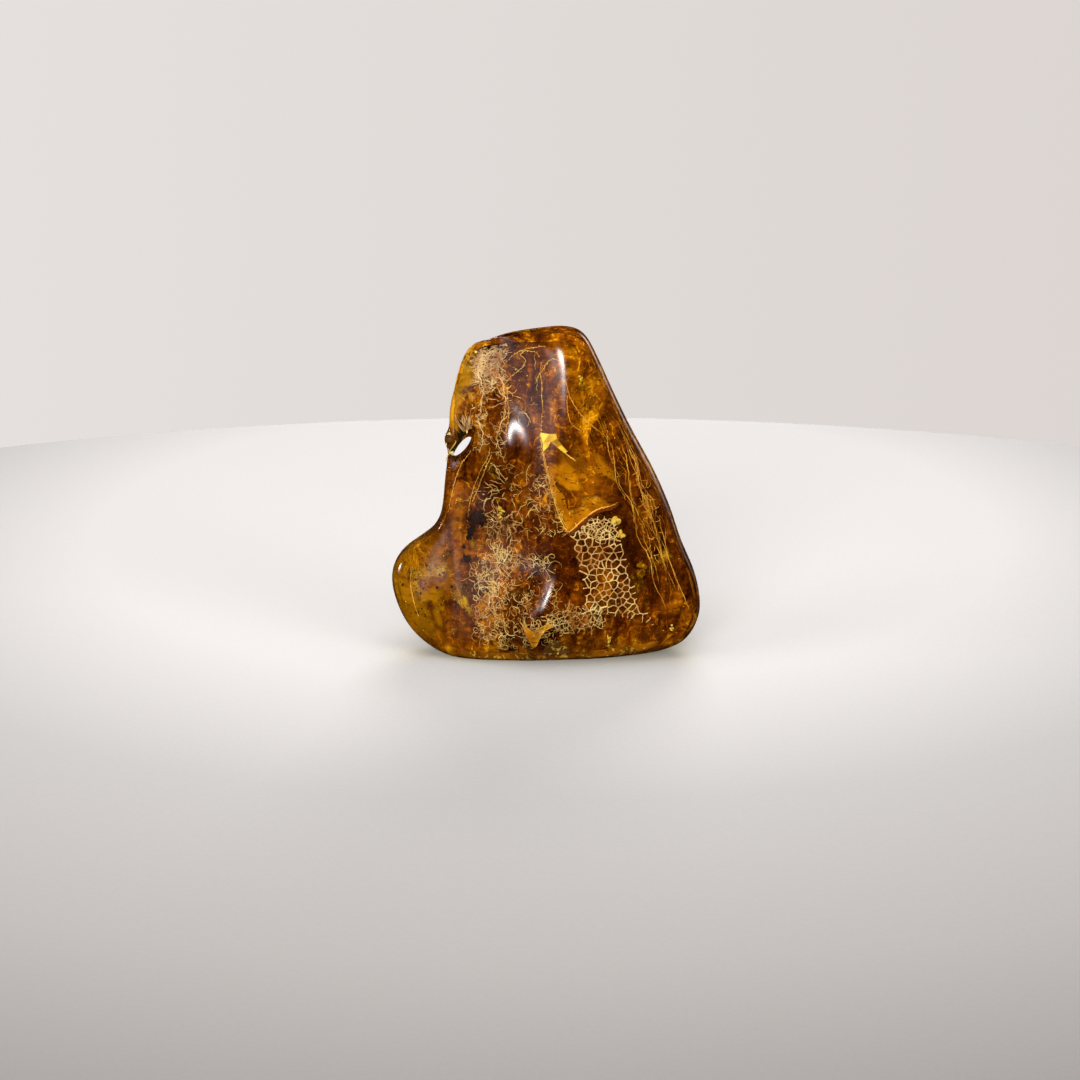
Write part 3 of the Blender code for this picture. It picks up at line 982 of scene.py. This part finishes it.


# Golden flake: a thin curved crack in the upper right, bright and flecked; its bright gold is painted
# reflection. It has a pale left edge that is a painted highlight, a chip at its top, and a dark lip
# along its foot that is a painted shadow, with a painted highlight over the lip
flake = {
    "edge": (
        (-0.6, 34.6), (1.5, 34.4), (2.6, 32.6), (4.4, 31.6), (6.8, 32.2), (9.3, 30.0), (10.4, 26.6),
        (10.6, 24.2), (7.8, 23.5), (5.6, 22.2), (3.2, 20.6), (2.2, 22.6), (1.3, 25.4), (0.4, 28.6),
        (-0.3, 32.0),
    ),
    # Painted light: each facet's brightness stands for how the light falls on it
    "chip": (  # flat facets, and how bright each is
        (((-0.75, 35.1), (0.55, 35.0), (-0.40, 33.7)), 1.0),
        (((0.55, 35.0), (1.50, 35.1), (1.70, 34.4), (0.75, 33.9), (-0.40, 33.7)), 0.62),
        (((-0.40, 33.7), (0.75, 33.9), (0.35, 33.1), (-0.35, 32.4)), 0.80),
        (((1.70, 34.4), (2.35, 33.5), (1.65, 33.2), (0.75, 33.9)), 0.35),
        (((2.35, 33.5), (3.10, 32.6), (2.60, 32.4), (1.65, 33.2)), 0.72),
    ),
    "leftEdge": ((-0.7, 34.9), (-0.4, 32.2), (0.2, 29.6), (0.8, 27.2), (1.5, 24.6), (2.3, 22.2), (3.1, 20.6)),
    "lip": (
        (2.5, 21.1), (3.3, 20.4), (4.2, 21.0), (5.4, 22.1), (6.6, 23.0), (7.8, 23.6), (9.2, 23.8),
        (10.5, 24.3),
    ),
    "spur": ((1.9, 33.6), (2.6, 32.6), (3.4, 31.8), (4.2, 31.2)),
    "depth": 1.4,
    "fades": ((30.5, 34.5), (8.6, 10.8)),  # where it thins out: z at its top, x at its right
}


# Flake finish: cloudy between two colours, bright streaks toward its foot, and spots
def flakeMaterial(name, low, high, spot):
    material, tree, out = newMaterial(name)
    clouds = noise(tree, objectPlace(tree, (1, 1, 0.6), (0, 0.5, 0)), 300, 5.0, 0.6, 0.5)
    streaks = noise(tree, objectPlace(tree, (1, 1, 0.2), (0, 0.35, 0)), 1300, 3.0, 0.6, 0.3)
    specks = noise(tree, objectPlace(tree, (0.6, 1, 1.6)), 2100, 2.0, 0.5)
    body = ramp(tree, clouds, ((0.30, low), (0.70, high)))
    bright = maths(tree, "GREATER_THAN", streaks, 0.60)
    bright = maths(tree, "MULTIPLY", bright, attributeOf(tree, "foot"), clamp=True)
    body = mixColour(tree, bright, body, (1.0, 0.72, 0.16, 1))
    body = mixColour(tree, maths(tree, "GREATER_THAN", specks, 0.66), body, spot)
    alpha = maths(tree, "MULTIPLY", attributeOf(tree, "rim"), scaled(tree, clouds, 0.8, 0.48), clamp=True)
    inputs = {"Base Color": body, "Roughness": 0.35, "Specular IOR Level": 0.3, "Alpha": alpha}
    return principled(material, tree, out, inputs)


# Patch: rings drawn from the outline's own middle to its edge, at a set depth, domed by swell,
# thinner at its rim and where it fades
def patch(name, outline, depth, swell, material, rings=22, turns=120, fades=None):
    edge = smoothLine(outline + outline[:1], turns + 1)[:-1]
    middle = edge.mean(axis=0)
    share = np.linspace(0, 1, rings + 1)[1:, None, None]
    flat = np.concatenate((middle[None], (middle + (edge - middle)[None] * share).reshape(-1, 2)))
    radial = np.concatenate(([0.0], np.repeat(share.ravel(), turns)))
    wave = 0.12 * np.sin(flat[:, 0] * 1.9 + flat[:, 1] * 0.8) + 0.10 * np.sin(flat[:, 1] * 1.5 - flat[:, 0])
    points = inStone(flat, depth + swell * (1 - radial**2) + wave)
    rim = np.clip((1 - radial) / 0.06, 0.25, 1)
    if fades:
        for value, (start, end) in zip((flat[:, 1], flat[:, 0]), fades):
            rim *= np.clip((end - value) / (end - start), 0, 1)
    foot = np.clip(1.3 - (flat[:, 1] - flat[:, 1].min()) / 5, 0, 1)
    mesh = meshFrom(name, points, ringFaces(rings, turns), material, True, {"rim": rim, "foot": foot})
    return addPiece(name, mesh)


# Chip: each facet is one flat polygon, brighter or darker by its own value, which is painted light,
# as if each facet caught the light at its own angle
def buildChip():
    material, tree, out = newMaterial("flakeChip")
    grain = noise(tree, objectPlace(tree), 1500, 3.0, 0.6)
    tone = maths(tree, "ADD", attributeOf(tree, "paintedFacetLight"), scaled(tree, grain, 0.9, -0.45))
    stops = ((0.15, (0.16, 0.055, 0.002, 1)), (0.55, (0.60, 0.33, 0.010, 1)), (0.95, (1.0, 0.82, 0.10, 1)))
    inputs = {"Base Color": ramp(tree, tone, stops), "Roughness": 0.3, "Specular IOR Level": 0.4}
    principled(material, tree, out, inputs)
    points, faces, paintedFacetLights = [], [], []
    for corners, value in flake["chip"]:
        faces.append(np.arange(len(points) + len(corners) - 1, len(points) - 1, -1)[None])
        points += inStone(np.array(corners), 0.75).tolist()
        paintedFacetLights += [value] * len(corners)
    addPiece("flakeChip", meshFrom("flakeChip", points, faces, material, False, {"paintedFacetLight": paintedFacetLights}))


def buildFlake():
    rng = np.random.default_rng(67)
    colours = (0.36, 0.115, 0.001, 1), (0.72, 0.33, 0.006, 1), (0.05, 0.012, 0.001, 1)
    # Painted reflection: the flake's bright gold stands for the light its crack reflects
    golden = flakeMaterial("goldenFlakeReflection", *colours)
    patch("goldenFlakeReflection", flake["edge"], flake["depth"], 0.7, golden, fades=flake["fades"])
    buildChip()
    # Painted highlight: the pale gold lines along the flake's left and top edges
    left = shaken(flake["leftEdge"], 70, 0.04, rng)
    spur = shaken(flake["spur"], 70, 0.04, rng)
    lines = np.concatenate((left, left + 0.16, spur))
    parts = [strands(lines, [0.9, 1.1, 0.9], [0.18, 0.10, 0.16], rng, 0.1, 0.3, 6)]
    twigs = wander(left[0, rng.integers(0, 70, 90)], (2.2, 4.2), (0.2, 0.8), rng, 5, 0.3)
    parts.append(strands(twigs, (0.7, 1.2), 0.06, rng, 0.1, 0.6, 4))
    finePiece("flakeEdgeHighlight", parts, strandGold)
    # Painted shadow: the dark lip along the flake's foot
    lip = shaken(flake["lip"], 60, 0.03, rng)
    dark = strandMaterial("flakeLipShadow", (0.05, 0.010, 0.002, 1), (0.22, 0.045, 0.004, 1), 500, 0.3)
    finePiece("flakeLipShadow", [strands(lip, 1.0, 0.62, rng, 0.05, 0.5, 8)], dark)
    # Painted highlight: a thin orange line over the dark lip
    inner = lip + (-0.05, 0.42)
    finePiece("flakeLipHighlight", [strands(inner, 0.8, 0.24, rng, 0.05, 0.6, 6)], strandOrange)


# Spangles: small curved fracture discs, golden or brown, at random in the stone; their gold is painted
# reflection of the fractures, the brown their own colour
spangles = {
    "regions": (  # polygon, count, smallest, largest half size
        (((-20.5, 13.0), (-15.5, 14.0), (-14.0, 5.0), (-19.0, 4.0)), 9, 0.5, 1.5),
        (((1.0, 46.0), (5.0, 46.0), (9.0, 36.0), (5.0, 35.0), (3.0, 40.0)), 12, 0.5, 1.8),
        (((-14.0, 4.0), (18.0, 4.0), (18.0, 1.6), (-12.0, 1.4)), 24, 0.5, 1.6),
        (((-12.5, 44.0), (-10.5, 44.0), (-11.5, 36.0), (-13.5, 36.0)), 7, 0.4, 1.1),
        (((-13.0, 28.0), (-5.0, 29.0), (-4.0, 18.0), (-13.5, 19.0)), 14, 0.4, 1.5),
        (((10.0, 26.0), (13.5, 26.0), (18.5, 8.0), (11.0, 8.0)), 12, 0.5, 1.6),
        (((-6.0, 45.0), (0.0, 46.0), (0.0, 37.0), (-4.0, 37.0)), 9, 0.4, 1.4),
    ),
    "ramp": (
        (0.30, (0.02, 0.005, 0.001, 1)),
        (0.48, (0.16, 0.05, 0.002, 1)),
        (0.66, (0.85, 0.48, 0.02, 1)),
    ),
    "rings": 5,
    "turns": 22,
}


# Disc: rings round a middle point, lifted as the square of the distance, tilted any way
def discs(centres, sizes, rng, flat=0.55):
    rings, turns = spangles["rings"], spangles["turns"]
    turn = np.arange(turns) * 2 * math.pi / turns
    share = np.linspace(0, 1, rings + 1)[1:]
    u = np.concatenate(([0.0], (share[:, None] * np.cos(turn)).ravel()))
    v = np.concatenate(([0.0], (share[:, None] * np.sin(turn)).ravel()))
    count = len(centres)
    ragged = 1 + 0.16 * np.sin(3 * np.arctan2(v, u) + rng.uniform(0, 6.28, (count, 1)))
    narrow = rng.uniform(0.5, 1, (count, 1))
    shape = np.stack((u * ragged, 0.22 * (u**2 + v**2) * ragged, v * ragged * narrow), -1)
    azimuth, lean = rng.normal(0, flat, count), rng.normal(0, flat, count)
    ca, sa, cl, sl = np.cos(azimuth), np.sin(azimuth), np.cos(lean), np.sin(lean)
    zero, one = np.zeros(count), np.ones(count)
    aside = np.stack((ca, -sa, zero, sa, ca, zero, zero, zero, one), 1).reshape(-1, 3, 3)
    over = np.stack((one, zero, zero, zero, cl, -sl, zero, sl, cl), 1).reshape(-1, 3, 3)
    points = np.einsum("nij,njk,nlk->nli", aside, over, shape * sizes[:, None, None]) + centres[:, None]
    faces = [repeated(group, count, len(u)) for group in ringFaces(rings, turns)]
    return points.reshape(-1, 3), faces


def buildSpangles():
    rng = np.random.default_rng(71)
    material, tree, out = newMaterial("spangle")
    place = objectPlace(tree)
    tone = noise(tree, place, 420, 2.0)
    grain = noise(tree, place, 2600, 3.0, 0.7)
    # Painted reflection: the gold end of the ramp stands for light the fractures reflect
    inputs = {
        "Base Color": ramp(tree, tone, spangles["ramp"]),
        "Roughness": 0.4,
        "Specular IOR Level": 0.3,
        "Alpha": scaled(tree, grain, 1.6, -0.42, True),
    }
    principled(material, tree, out, inputs)
    parts = []
    for polygon, count, smallest, largest in spangles["regions"]:
        for side in (1, -1):
            flat = scatter(polygon, count, rng)
            places = inStone(flat, side * rng.uniform(1.2, 3.6, len(flat)), 0.86)
            parts.append(discs(places, rng.uniform(smallest, largest, len(flat)) * 0.6, rng))
    finePiece("spangles", parts, material)


# Specks: dark and pale grains, tiny bubbles, and the dark crumbs left of the middle
specks = {
    "regions": (  # polygon, count, smallest, largest
        (
            ((-21.8, 12.5), (-18.0, 16.0), (-15.0, 14.5), (-13.5, 4.0), (-17.0, 2.6), (-21.0, 6.5)),
            150, 0.05, 0.16,
        ),
        (((1.0, 33.0), (6.5, 31.5), (9.8, 29.0), (10.4, 24.8), (4.0, 21.5), (1.6, 25.0)), 110, 0.04, 0.10),
        (((2.5, 41.0), (8.0, 36.0), (9.5, 31.5), (5.0, 31.0)), 90, 0.04, 0.10),
        (((-14.0, 28.0), (-8.0, 30.0), (-5.0, 18.0), (-14.5, 18.0)), 90, 0.04, 0.14),
        (((0.5, 18.0), (3.5, 19.0), (4.6, 8.0), (1.6, 6.0)), 60, 0.04, 0.10),
        (((-20.0, 8.0), (20.0, 8.0), (18.0, 1.8), (-15.0, 1.8)), 200, 0.05, 0.14),
    ),
    "crumbs": (  # x, z, size
        (-10.0, 21.7, 1.0), (-11.0, 19.4, 0.5), (-11.6, 15.5, 0.6), (-10.6, 20.2, 0.4), (-11.3, 18.6, 0.4),
        (-16.0, 11.0, 0.2), (-13.8, 11.2, 0.2), (-15.0, 13.2, 0.16), (-12.0, 17.2, 0.28),
    ),
    "bubbles": 480,
}


def buildSpecks():
    rng = np.random.default_rng(79)
    dark = []
    for polygon, count, smallest, largest in specks["regions"]:
        flat = scatter(polygon, count, rng)
        sizes = rng.uniform(smallest, largest, (len(flat), 1)) * rng.uniform(0.5, 1.3, (len(flat), 3))
        dark.append(grains(inStone(flat, rng.uniform(0.5, 5.0, len(flat))), sizes, rng))
    around = np.repeat(specks["crumbs"], 46, axis=0)
    flat = around[:, :2] + rng.normal(0, 0.42, (len(around), 2)) * around[:, 2:]
    sizes = around[:, 2:] * rng.uniform(0.15, 0.5, (len(around), 3))
    dark.append(grains(inStone(flat, rng.uniform(0.45, 0.7, len(flat))), sizes, rng))
    finePiece("darkSpecks", dark, darkDebris)
    flat = scatter(stone["outline"], specks["bubbles"], rng)
    depth = rng.uniform(0.4, 5.0, len(flat)) * rng.choice((-1, 1), len(flat), p=(0.4, 0.6))
    sizes = np.repeat(rng.uniform(0.03, 0.11, (len(flat), 1)), 3, axis=1)
    finePiece("paleSpecks", [grains(inStone(flat, depth), sizes, rng, 3)], strandGold)


# Bubbles and glints: gold ones by the flake and low spots, whose bright gold is a painted highlight,
# the bright band over the foot, and a glow painted along the foot itself
glints = {
    "clusters": 5,
    "balls": (  # x, z, half sizes, depth
        (10.3, 21.9, (0.95, 0.7, 0.6), 0.9),
        (10.9, 19.8, (0.8, 0.6, 0.65), 1.0),
        (9.2, 4.0, (0.32, 0.3, 0.8), 0.8),
        (18.4, 4.9, (0.3, 0.3, 0.55), 0.8),
        (-10.2, 46.2, (0.28, 0.28, 0.28), 0.6),
        (-5.8, 47.0, (0.24, 0.24, 0.24), 0.7),
        (-6.3, 22.4, (0.55, 0.4, 0.9), 1.2),
        (4.9, 42.8, (0.45, 0.3, 0.28), 1.2),
    ),
    "band": (
        (-3.5, 7.3), (-2.9, 5.8), (-2.3, 4.2), (-1.9, 3.3), (-1.3, 3.9), (-0.8, 5.4), (-0.1, 6.4),
        (1.0, 7.0), (0.2, 7.4), (-0.8, 6.8), (-1.6, 6.2), (-2.6, 6.6),
    ),
    "bandColours": ((0.50, 0.11, 0.001, 1), (1.0, 0.50, 0.015, 1), (0.10, 0.02, 0.001, 1)),
    "dome": ((-0.7, 1.7), (-0.2, 3.2), (0.5, 4.2), (1.4, 4.5), (2.5, 3.7), (3.5, 2.0), (1.4, 1.6)),
    "domeColours": ((0.09, 0.040, 0.012, 1), (0.24, 0.115, 0.040, 1), (0.03, 0.012, 0.004, 1)),
    "foot": (
        (-14.5, 1.9), (-8.0, 2.0), (0.0, 1.9), (8.0, 2.1), (13.0, 2.7), (16.5, 3.3),
        (15.5, 2.2), (12.0, 1.2), (6.0, 0.8), (0.0, 0.7), (-8.0, 0.7), (-13.0, 0.9),
    ),
    "footGlowColours": ((0.07, 0.014, 0.001, 1), (0.72, 0.27, 0.008, 1), (0.05, 0.012, 0.001, 1)),
}


def buildGlints():
    rng = np.random.default_rng(83)
    # Painted highlight: bright gold grains stand for the light in bubbles
    material, tree, out = newMaterial("paintedBubbleGlint")
    tone = noise(tree, objectPlace(tree), 900, 2.0)
    body = ramp(tree, tone, ((0.3, (1.0, 0.62, 0.08, 1)), (0.7, (1.0, 0.90, 0.30, 1))))
    principled(material, tree, out, {"Base Color": body, "Roughness": 0.12, "Metallic": 0.35})
    parts = []
    for x, z, half, depth in glints["balls"]:
        count = glints["clusters"]
        flat = (x, z) + rng.normal(0, 0.42, (count, 2)) * half[::2]
        sizes = np.array(half) * rng.uniform(0.25, 0.75, (count, 3))
        parts.append(grains(inStone(flat, depth + rng.uniform(0, 0.4, count)), sizes, rng, 4))
    finePiece("paintedBubbleGlints", parts, material)
    edge = shaken(glints["band"] + glints["band"][:1], 90, 0.03, rng)
    finePiece("brightBandEdge", [strands(edge, 0.7, 0.09, rng, 0.1, 0.3, 6)], strandGold)
    bright = flakeMaterial("brightBand", *glints["bandColours"])
    patch("brightBand", glints["band"], 0.8, 0.2, bright, 14, 90)
    dull = flakeMaterial("dullDome", *glints["domeColours"])
    patch("dullDome", glints["dome"], 0.6, 0.3, dull, 14, 90)
    # Painted light: a bright amber band along the foot, a glow painted into the stone
    lit = flakeMaterial("paintedFootGlow", *glints["footGlowColours"])
    patch("paintedFootGlow", glints["foot"], 0.9, 0.1, lit, 10, 160)


# Hole and knob: a fan of fine threads that rises from the hole, and what shows in the knob: dark
# lumps, and a gold streak that is painted light inside the clear knob
holeFan = {
    "count": 34,
    "foot": (-11.4, 34.2),
    "spread": (0.25, 0.4),
    "knobLumps": ((-13.7, 0.0, 32.6), (-13.8, 0.0, 31.7)),
    "knobHalf": ((0.62, 0.62, 0.9), (0.45, 0.45, 0.6)),
    "streak": ((-14.2, 33.7), (-14.0, 32.6), (-14.2, 31.2)),
}


def buildHoleFibres():
    rng = np.random.default_rng(97)
    count = holeFan["count"]
    starts = holeFan["foot"] + rng.normal(0, 1, (2, count)).T * holeFan["spread"]
    fan = wander(starts, (1.0, 2.3), (0.8, 3.0), rng, 8, 0.12)
    finePiece("holeFibres", [strands(fan, (0.4, 1.0), 0.07, rng, 0.1, 0.7, 4)], strandPale)
    body = grains(np.array(holeFan["knobLumps"]) + shift, np.array(holeFan["knobHalf"]), rng, 12)
    brown = strandMaterial("knobBrown", (0.02, 0.006, 0.001, 1), (0.13, 0.045, 0.003, 1), 900)
    finePiece("knobBody", [body], brown)
    # Painted light: a gold streak for the light inside the clear knob
    streak = smoothLine(holeFan["streak"], 20)[None] + rng.normal(0, 0.03, (3, 20, 2))
    finePiece("knobPaintedLight", [strands(streak, 0.3, 0.16, rng, 0.05, 0.6)], strandGold)


# Far side: threads, nets and specks behind, so that the stone is as rich from there
farSide = {
    "tangles": (
        ((-10.0, 22.0), (-2.0, 24.0), (-1.0, 6.0), (-9.0, 5.0)),
        ((4.0, 40.0), (8.0, 33.0), (5.0, 28.0), (0.0, 38.0)),
        ((6.0, 20.0), (14.0, 19.0), (16.0, 7.0), (6.0, 6.0)),
    ),
    "threads": 130,  # in each tangle
    "net": ((-6.0, 44.0), (0.0, 45.0), (3.0, 33.0), (-3.0, 26.0), (-8.0, 33.0)),
    "specks": 320,
}


def buildFarSide():
    rng = np.random.default_rng(101)
    parts = []
    for polygon in farSide["tangles"]:
        starts = scatter(polygon, farSide["threads"], rng)
        curl = rng.choice((-1, 1), len(starts)) * rng.uniform(0.0, 0.6, len(starts))
        lines = wander(starts, (0, 6.28), (0.8, 3.4), rng, 9, 0.3, curl)
        parts.append(strands(lines, -rng.uniform(0.7, 2.0, len(starts)), (0.05, 0.12), rng, 0.3, 0.5))
    net = netLines(farSide["net"], 1.15, rng)
    parts.append(strands(net, -1.2, (0.06, 0.15), rng, 0.1, 0.0))
    finePiece("farThreads", parts, strandGold)
    flat = scatter(stone["outline"], farSide["specks"], rng)
    sizes = rng.uniform(0.05, 0.15, (len(flat), 3))
    places = inStone(flat, -rng.uniform(0.6, 4, len(flat)))
    finePiece("farSpecks", [grains(places, sizes, rng)], darkDebris)


buildLeafNet()
buildColumn()
buildTangle()
buildFilaments()
buildFlowStrands()
buildFlake()
buildSpangles()
buildSpecks()
buildGlints()
buildHoleFibres()
buildFarSide()
print("inside: nets, threads, flake, specks and bubbles are in")


# Table: a round pale top, with a pool of light painted into its colour round the stone
table = {
    "radius": 0.25,
    "middleY": -0.122,
    "corners": 180,
    "colour": (0.58, 0.566, 0.562, 1),
    "palest": (0.0, 0.06, 0.0),
    # Painted pool of light: the colour is palest at one place a little behind the stone and darker further
    # out
    "paintedPoolShares": (  # share of the colour, by quarter metres from the palest place
        (0.30, (0.90, 0.90, 0.90, 1)),
        (0.48, (0.64, 0.64, 0.64, 1)),
        (0.68, (0.53, 0.52, 0.515, 1)),
        (0.92, (0.32, 0.31, 0.305, 1)),
    ),
}


def buildTable():
    material, tree, out = newMaterial("tableTop")
    weave = noise(tree, objectPlace(tree), 1400, 4.0, 0.6)
    body = ramp(tree, weave, ((0.3, (0.97, 0.97, 0.97, 1)), (0.7, (1, 1, 1, 1))))
    coords = node(tree, "ShaderNodeTexCoord").outputs["Object"]
    inputs = {0: coords, 1: table["palest"]}
    away = node(tree, "ShaderNodeVectorMath", inputs, operation="DISTANCE").outputs["Value"]
    # Painted pool of light: the top's colour darkens with the distance from its palest place
    pool = ramp(tree, maths(tree, "MULTIPLY", away, 4.0), table["paintedPoolShares"])
    body = mixColour(tree, 1.0, body, pool, "MULTIPLY")
    body = mixColour(tree, 1.0, body, table["colour"], "MULTIPLY")
    bump = node(tree, "ShaderNodeBump", {"Strength": 0.25, "Distance": 0.0002, "Height": weave})
    inputs = {
        "Base Color": body,
        "Roughness": 0.95,
        "Specular IOR Level": 0.0,
        "Normal": bump.outputs["Normal"],
    }
    principled(material, tree, out, inputs)
    turn = np.arange(table["corners"]) * 2 * math.pi / table["corners"]
    x, y = table["radius"] * np.cos(turn), table["middleY"] + table["radius"] * np.sin(turn)
    faces = [np.arange(table["corners"])[None]]
    mesh = meshFrom("table", np.stack((x, y, 0 * turn), 1) / mm, faces, material, False)
    floor = bpy.data.objects.new("table", mesh)
    bpy.context.scene.collection.objects.link(floor)
    floor.visible_glossy = False


# Light: five panels light what is inside the stone, the room is its pale surroundings, and the
# polish shows only soft glows
light = {
    "aim": (0.0, 0.0, 0.0243),
    "colour": (1.0, 0.98, 0.96),
    "panels": (  # name, azimuth, elevation, distance, width, height, radiance
        ("frontPanel", -14, 22, 0.60, 0.30, 0.26, 13.0),
        ("rightPanel", 52, 24, 0.60, 0.26, 0.26, 6.0),
        ("leftPanel", -72, 28, 0.60, 0.26, 0.26, 6.0),
        ("backPanel", 172, 34, 0.60, 0.30, 0.26, 12.0),
        ("topPanel", 10, 84, 0.24, 0.22, 0.22, 2.6),
    ),
    "glows": (  # azimuth, elevation, half widths in degrees, radiance, colour: what the polish shows
        (-10.0, 23.0, 4.6, 7.5, 27.0, (1.0, 0.98, 0.97)),
        (-11.0, 16.0, 8.0, 7.0, 4.6, (1.0, 0.90, 0.96)),
        (-25.0, 17.0, 6.0, 6.0, 3.0, (1.0, 0.94, 0.98)),
        (-33.0, 6.0, 7.0, 5.5, 1.1, (1.0, 0.88, 0.97)),
        (-38.0, 1.0, 12.0, 9.0, 0.35, (1.0, 0.88, 0.95)),
        (-97.0, 9.0, 3.0, 4.0, 22.0, (1.0, 0.96, 0.92)),
        (152.0, 8.0, 4.0, 10.0, 3.0, (1.0, 0.96, 0.92)),
    ),
    "roomLeft": linear(229, 224, 221),
    "roomRight": linear(220, 213, 210),
    "fill": (0.30, 0.295, 0.29, 1),
    "polish": (0.010, 0.009, 0.009, 1),
}


def towards(azimuth, elevation):
    a, e = math.radians(azimuth), math.radians(elevation)
    return Vector((math.sin(a) * math.cos(e), -math.cos(a) * math.cos(e), math.sin(e)))


def buildLights():
    for name, azimuth, elevation, distance, width, height, radiance in light["panels"]:
        lamp = bpy.data.lights.new(name, "AREA")
        lamp.shape = "RECTANGLE"
        lamp.size = width
        lamp.size_y = height
        lamp.energy = radiance * math.pi * width * height
        lamp.color = light["colour"]
        lamp.cycles.use_multiple_importance_sampling = False
        panel = bpy.data.objects.new(name, lamp)
        way = towards(azimuth, elevation)
        panel.location = Vector(light["aim"]) + way * distance
        panel.rotation_euler = way.to_track_quat("Z", "Y").to_euler()
        panel.visible_camera = False
        panel.visible_transmission = False
        panel.visible_glossy = False
        bpy.context.scene.collection.objects.link(panel)


# The square of a value, which may be below nought
def squared(tree, value):
    return maths(tree, "POWER", maths(tree, "ABSOLUTE", value), 2.0)


# Glows: each is its radiance times e to the minus squares of the angles from its middle
def polishGlows(tree, parts):
    degree = 180 / math.pi
    azimuth = maths(tree, "ARCTAN2", parts["X"], maths(tree, "MULTIPLY", parts["Y"], -1.0))
    elevation = maths(tree, "ARCSINE", parts["Z"])
    total = light["polish"]
    for middle, height, halfAcross, halfUp, radiance, colour in light["glows"]:
        turned = maths(tree, "WRAP", maths(tree, "ADD", azimuth, -middle / degree), math.pi, -math.pi)
        across = squared(tree, maths(tree, "MULTIPLY", turned, degree / halfAcross))
        up = squared(tree, scaled(tree, elevation, degree / halfUp, -height / halfUp))
        fall = maths(tree, "MULTIPLY", maths(tree, "ADD", across, up), -1.0)
        glow = grey(tree, maths(tree, "MULTIPLY", maths(tree, "EXPONENT", fall), radiance))
        tinted = mixColour(tree, 1.0, (*colour, 1), glow, "MULTIPLY")
        total = mixColour(tree, 1.0, total, tinted, "ADD")
    return total


# Room: through the stone the pale wall shows, fainter behind the camera, the polish shows the
# glows, and the camera sees the wall itself
def buildRoom():
    world = bpy.data.worlds.new("paleRoom")
    bpy.context.scene.world = world
    world.use_nodes = True
    tree = world.node_tree
    tree.nodes.clear()
    out = tree.nodes.new("ShaderNodeOutputWorld")
    way = node(tree, "ShaderNodeTexCoord").outputs["Generated"]
    parts = node(tree, "ShaderNodeSeparateXYZ", {0: way}).outputs
    rays = node(tree, "ShaderNodeLightPath").outputs
    sweep = scaled(tree, parts["X"], 3.1, 0.5, True)
    wall = mixColour(tree, sweep, light["roomLeft"], light["roomRight"])
    behind = grey(tree, scaled(tree, parts["Y"], 0.30, 0.70, True))
    seen = mixColour(tree, 1.0, wall, behind, "MULTIPLY")
    colour = mixColour(tree, rays["Is Transmission Ray"], light["fill"], seen)
    colour = mixColour(tree, rays["Is Glossy Ray"], colour, polishGlows(tree, parts))
    colour = mixColour(tree, rays["Is Camera Ray"], colour, wall)
    background = node(tree, "ShaderNodeBackground", {"Color": colour})
    tree.links.new(background.outputs[0], out.inputs["Surface"])


# Camera: at the photo's height, with its frame moved only as far as the stone's place in it needs
view = {"elevation": 17.0, "distance": 0.5, "middle": (546, 494), "frame": (540, 540)}


def buildCamera():
    lens = bpy.data.cameras.new("camera")
    camera = bpy.data.objects.new("camera", lens)
    way = towards(0, view["elevation"])
    camera.location = Vector(light["aim"]) + way * view["distance"]
    camera.rotation_euler = way.to_track_quat("Z", "Y").to_euler()
    lens.sensor_width = 36.0
    lens.lens = 36.0 * view["distance"] / (photoSize * photoScale * mm)
    lens.shift_x = (view["frame"][0] - view["middle"][0]) / photoSize
    lens.shift_y = -(view["frame"][1] - view["middle"][1]) / photoSize
    bpy.context.scene.collection.objects.link(camera)
    bpy.context.scene.camera = camera


buildTable()
buildLights()
buildRoom()
buildCamera()

render = bpy.context.scene.cycles
render.max_bounces = 24
render.transmission_bounces = 24
render.glossy_bounces = 12
render.transparent_max_bounces = 40
render.diffuse_bounces = 3
render.caustics_reflective = False
render.caustics_refractive = False
bpy.context.scene.view_settings.view_transform = "Standard"
print("table, lights, room and camera are in")

bpy.context.view_layer.update()
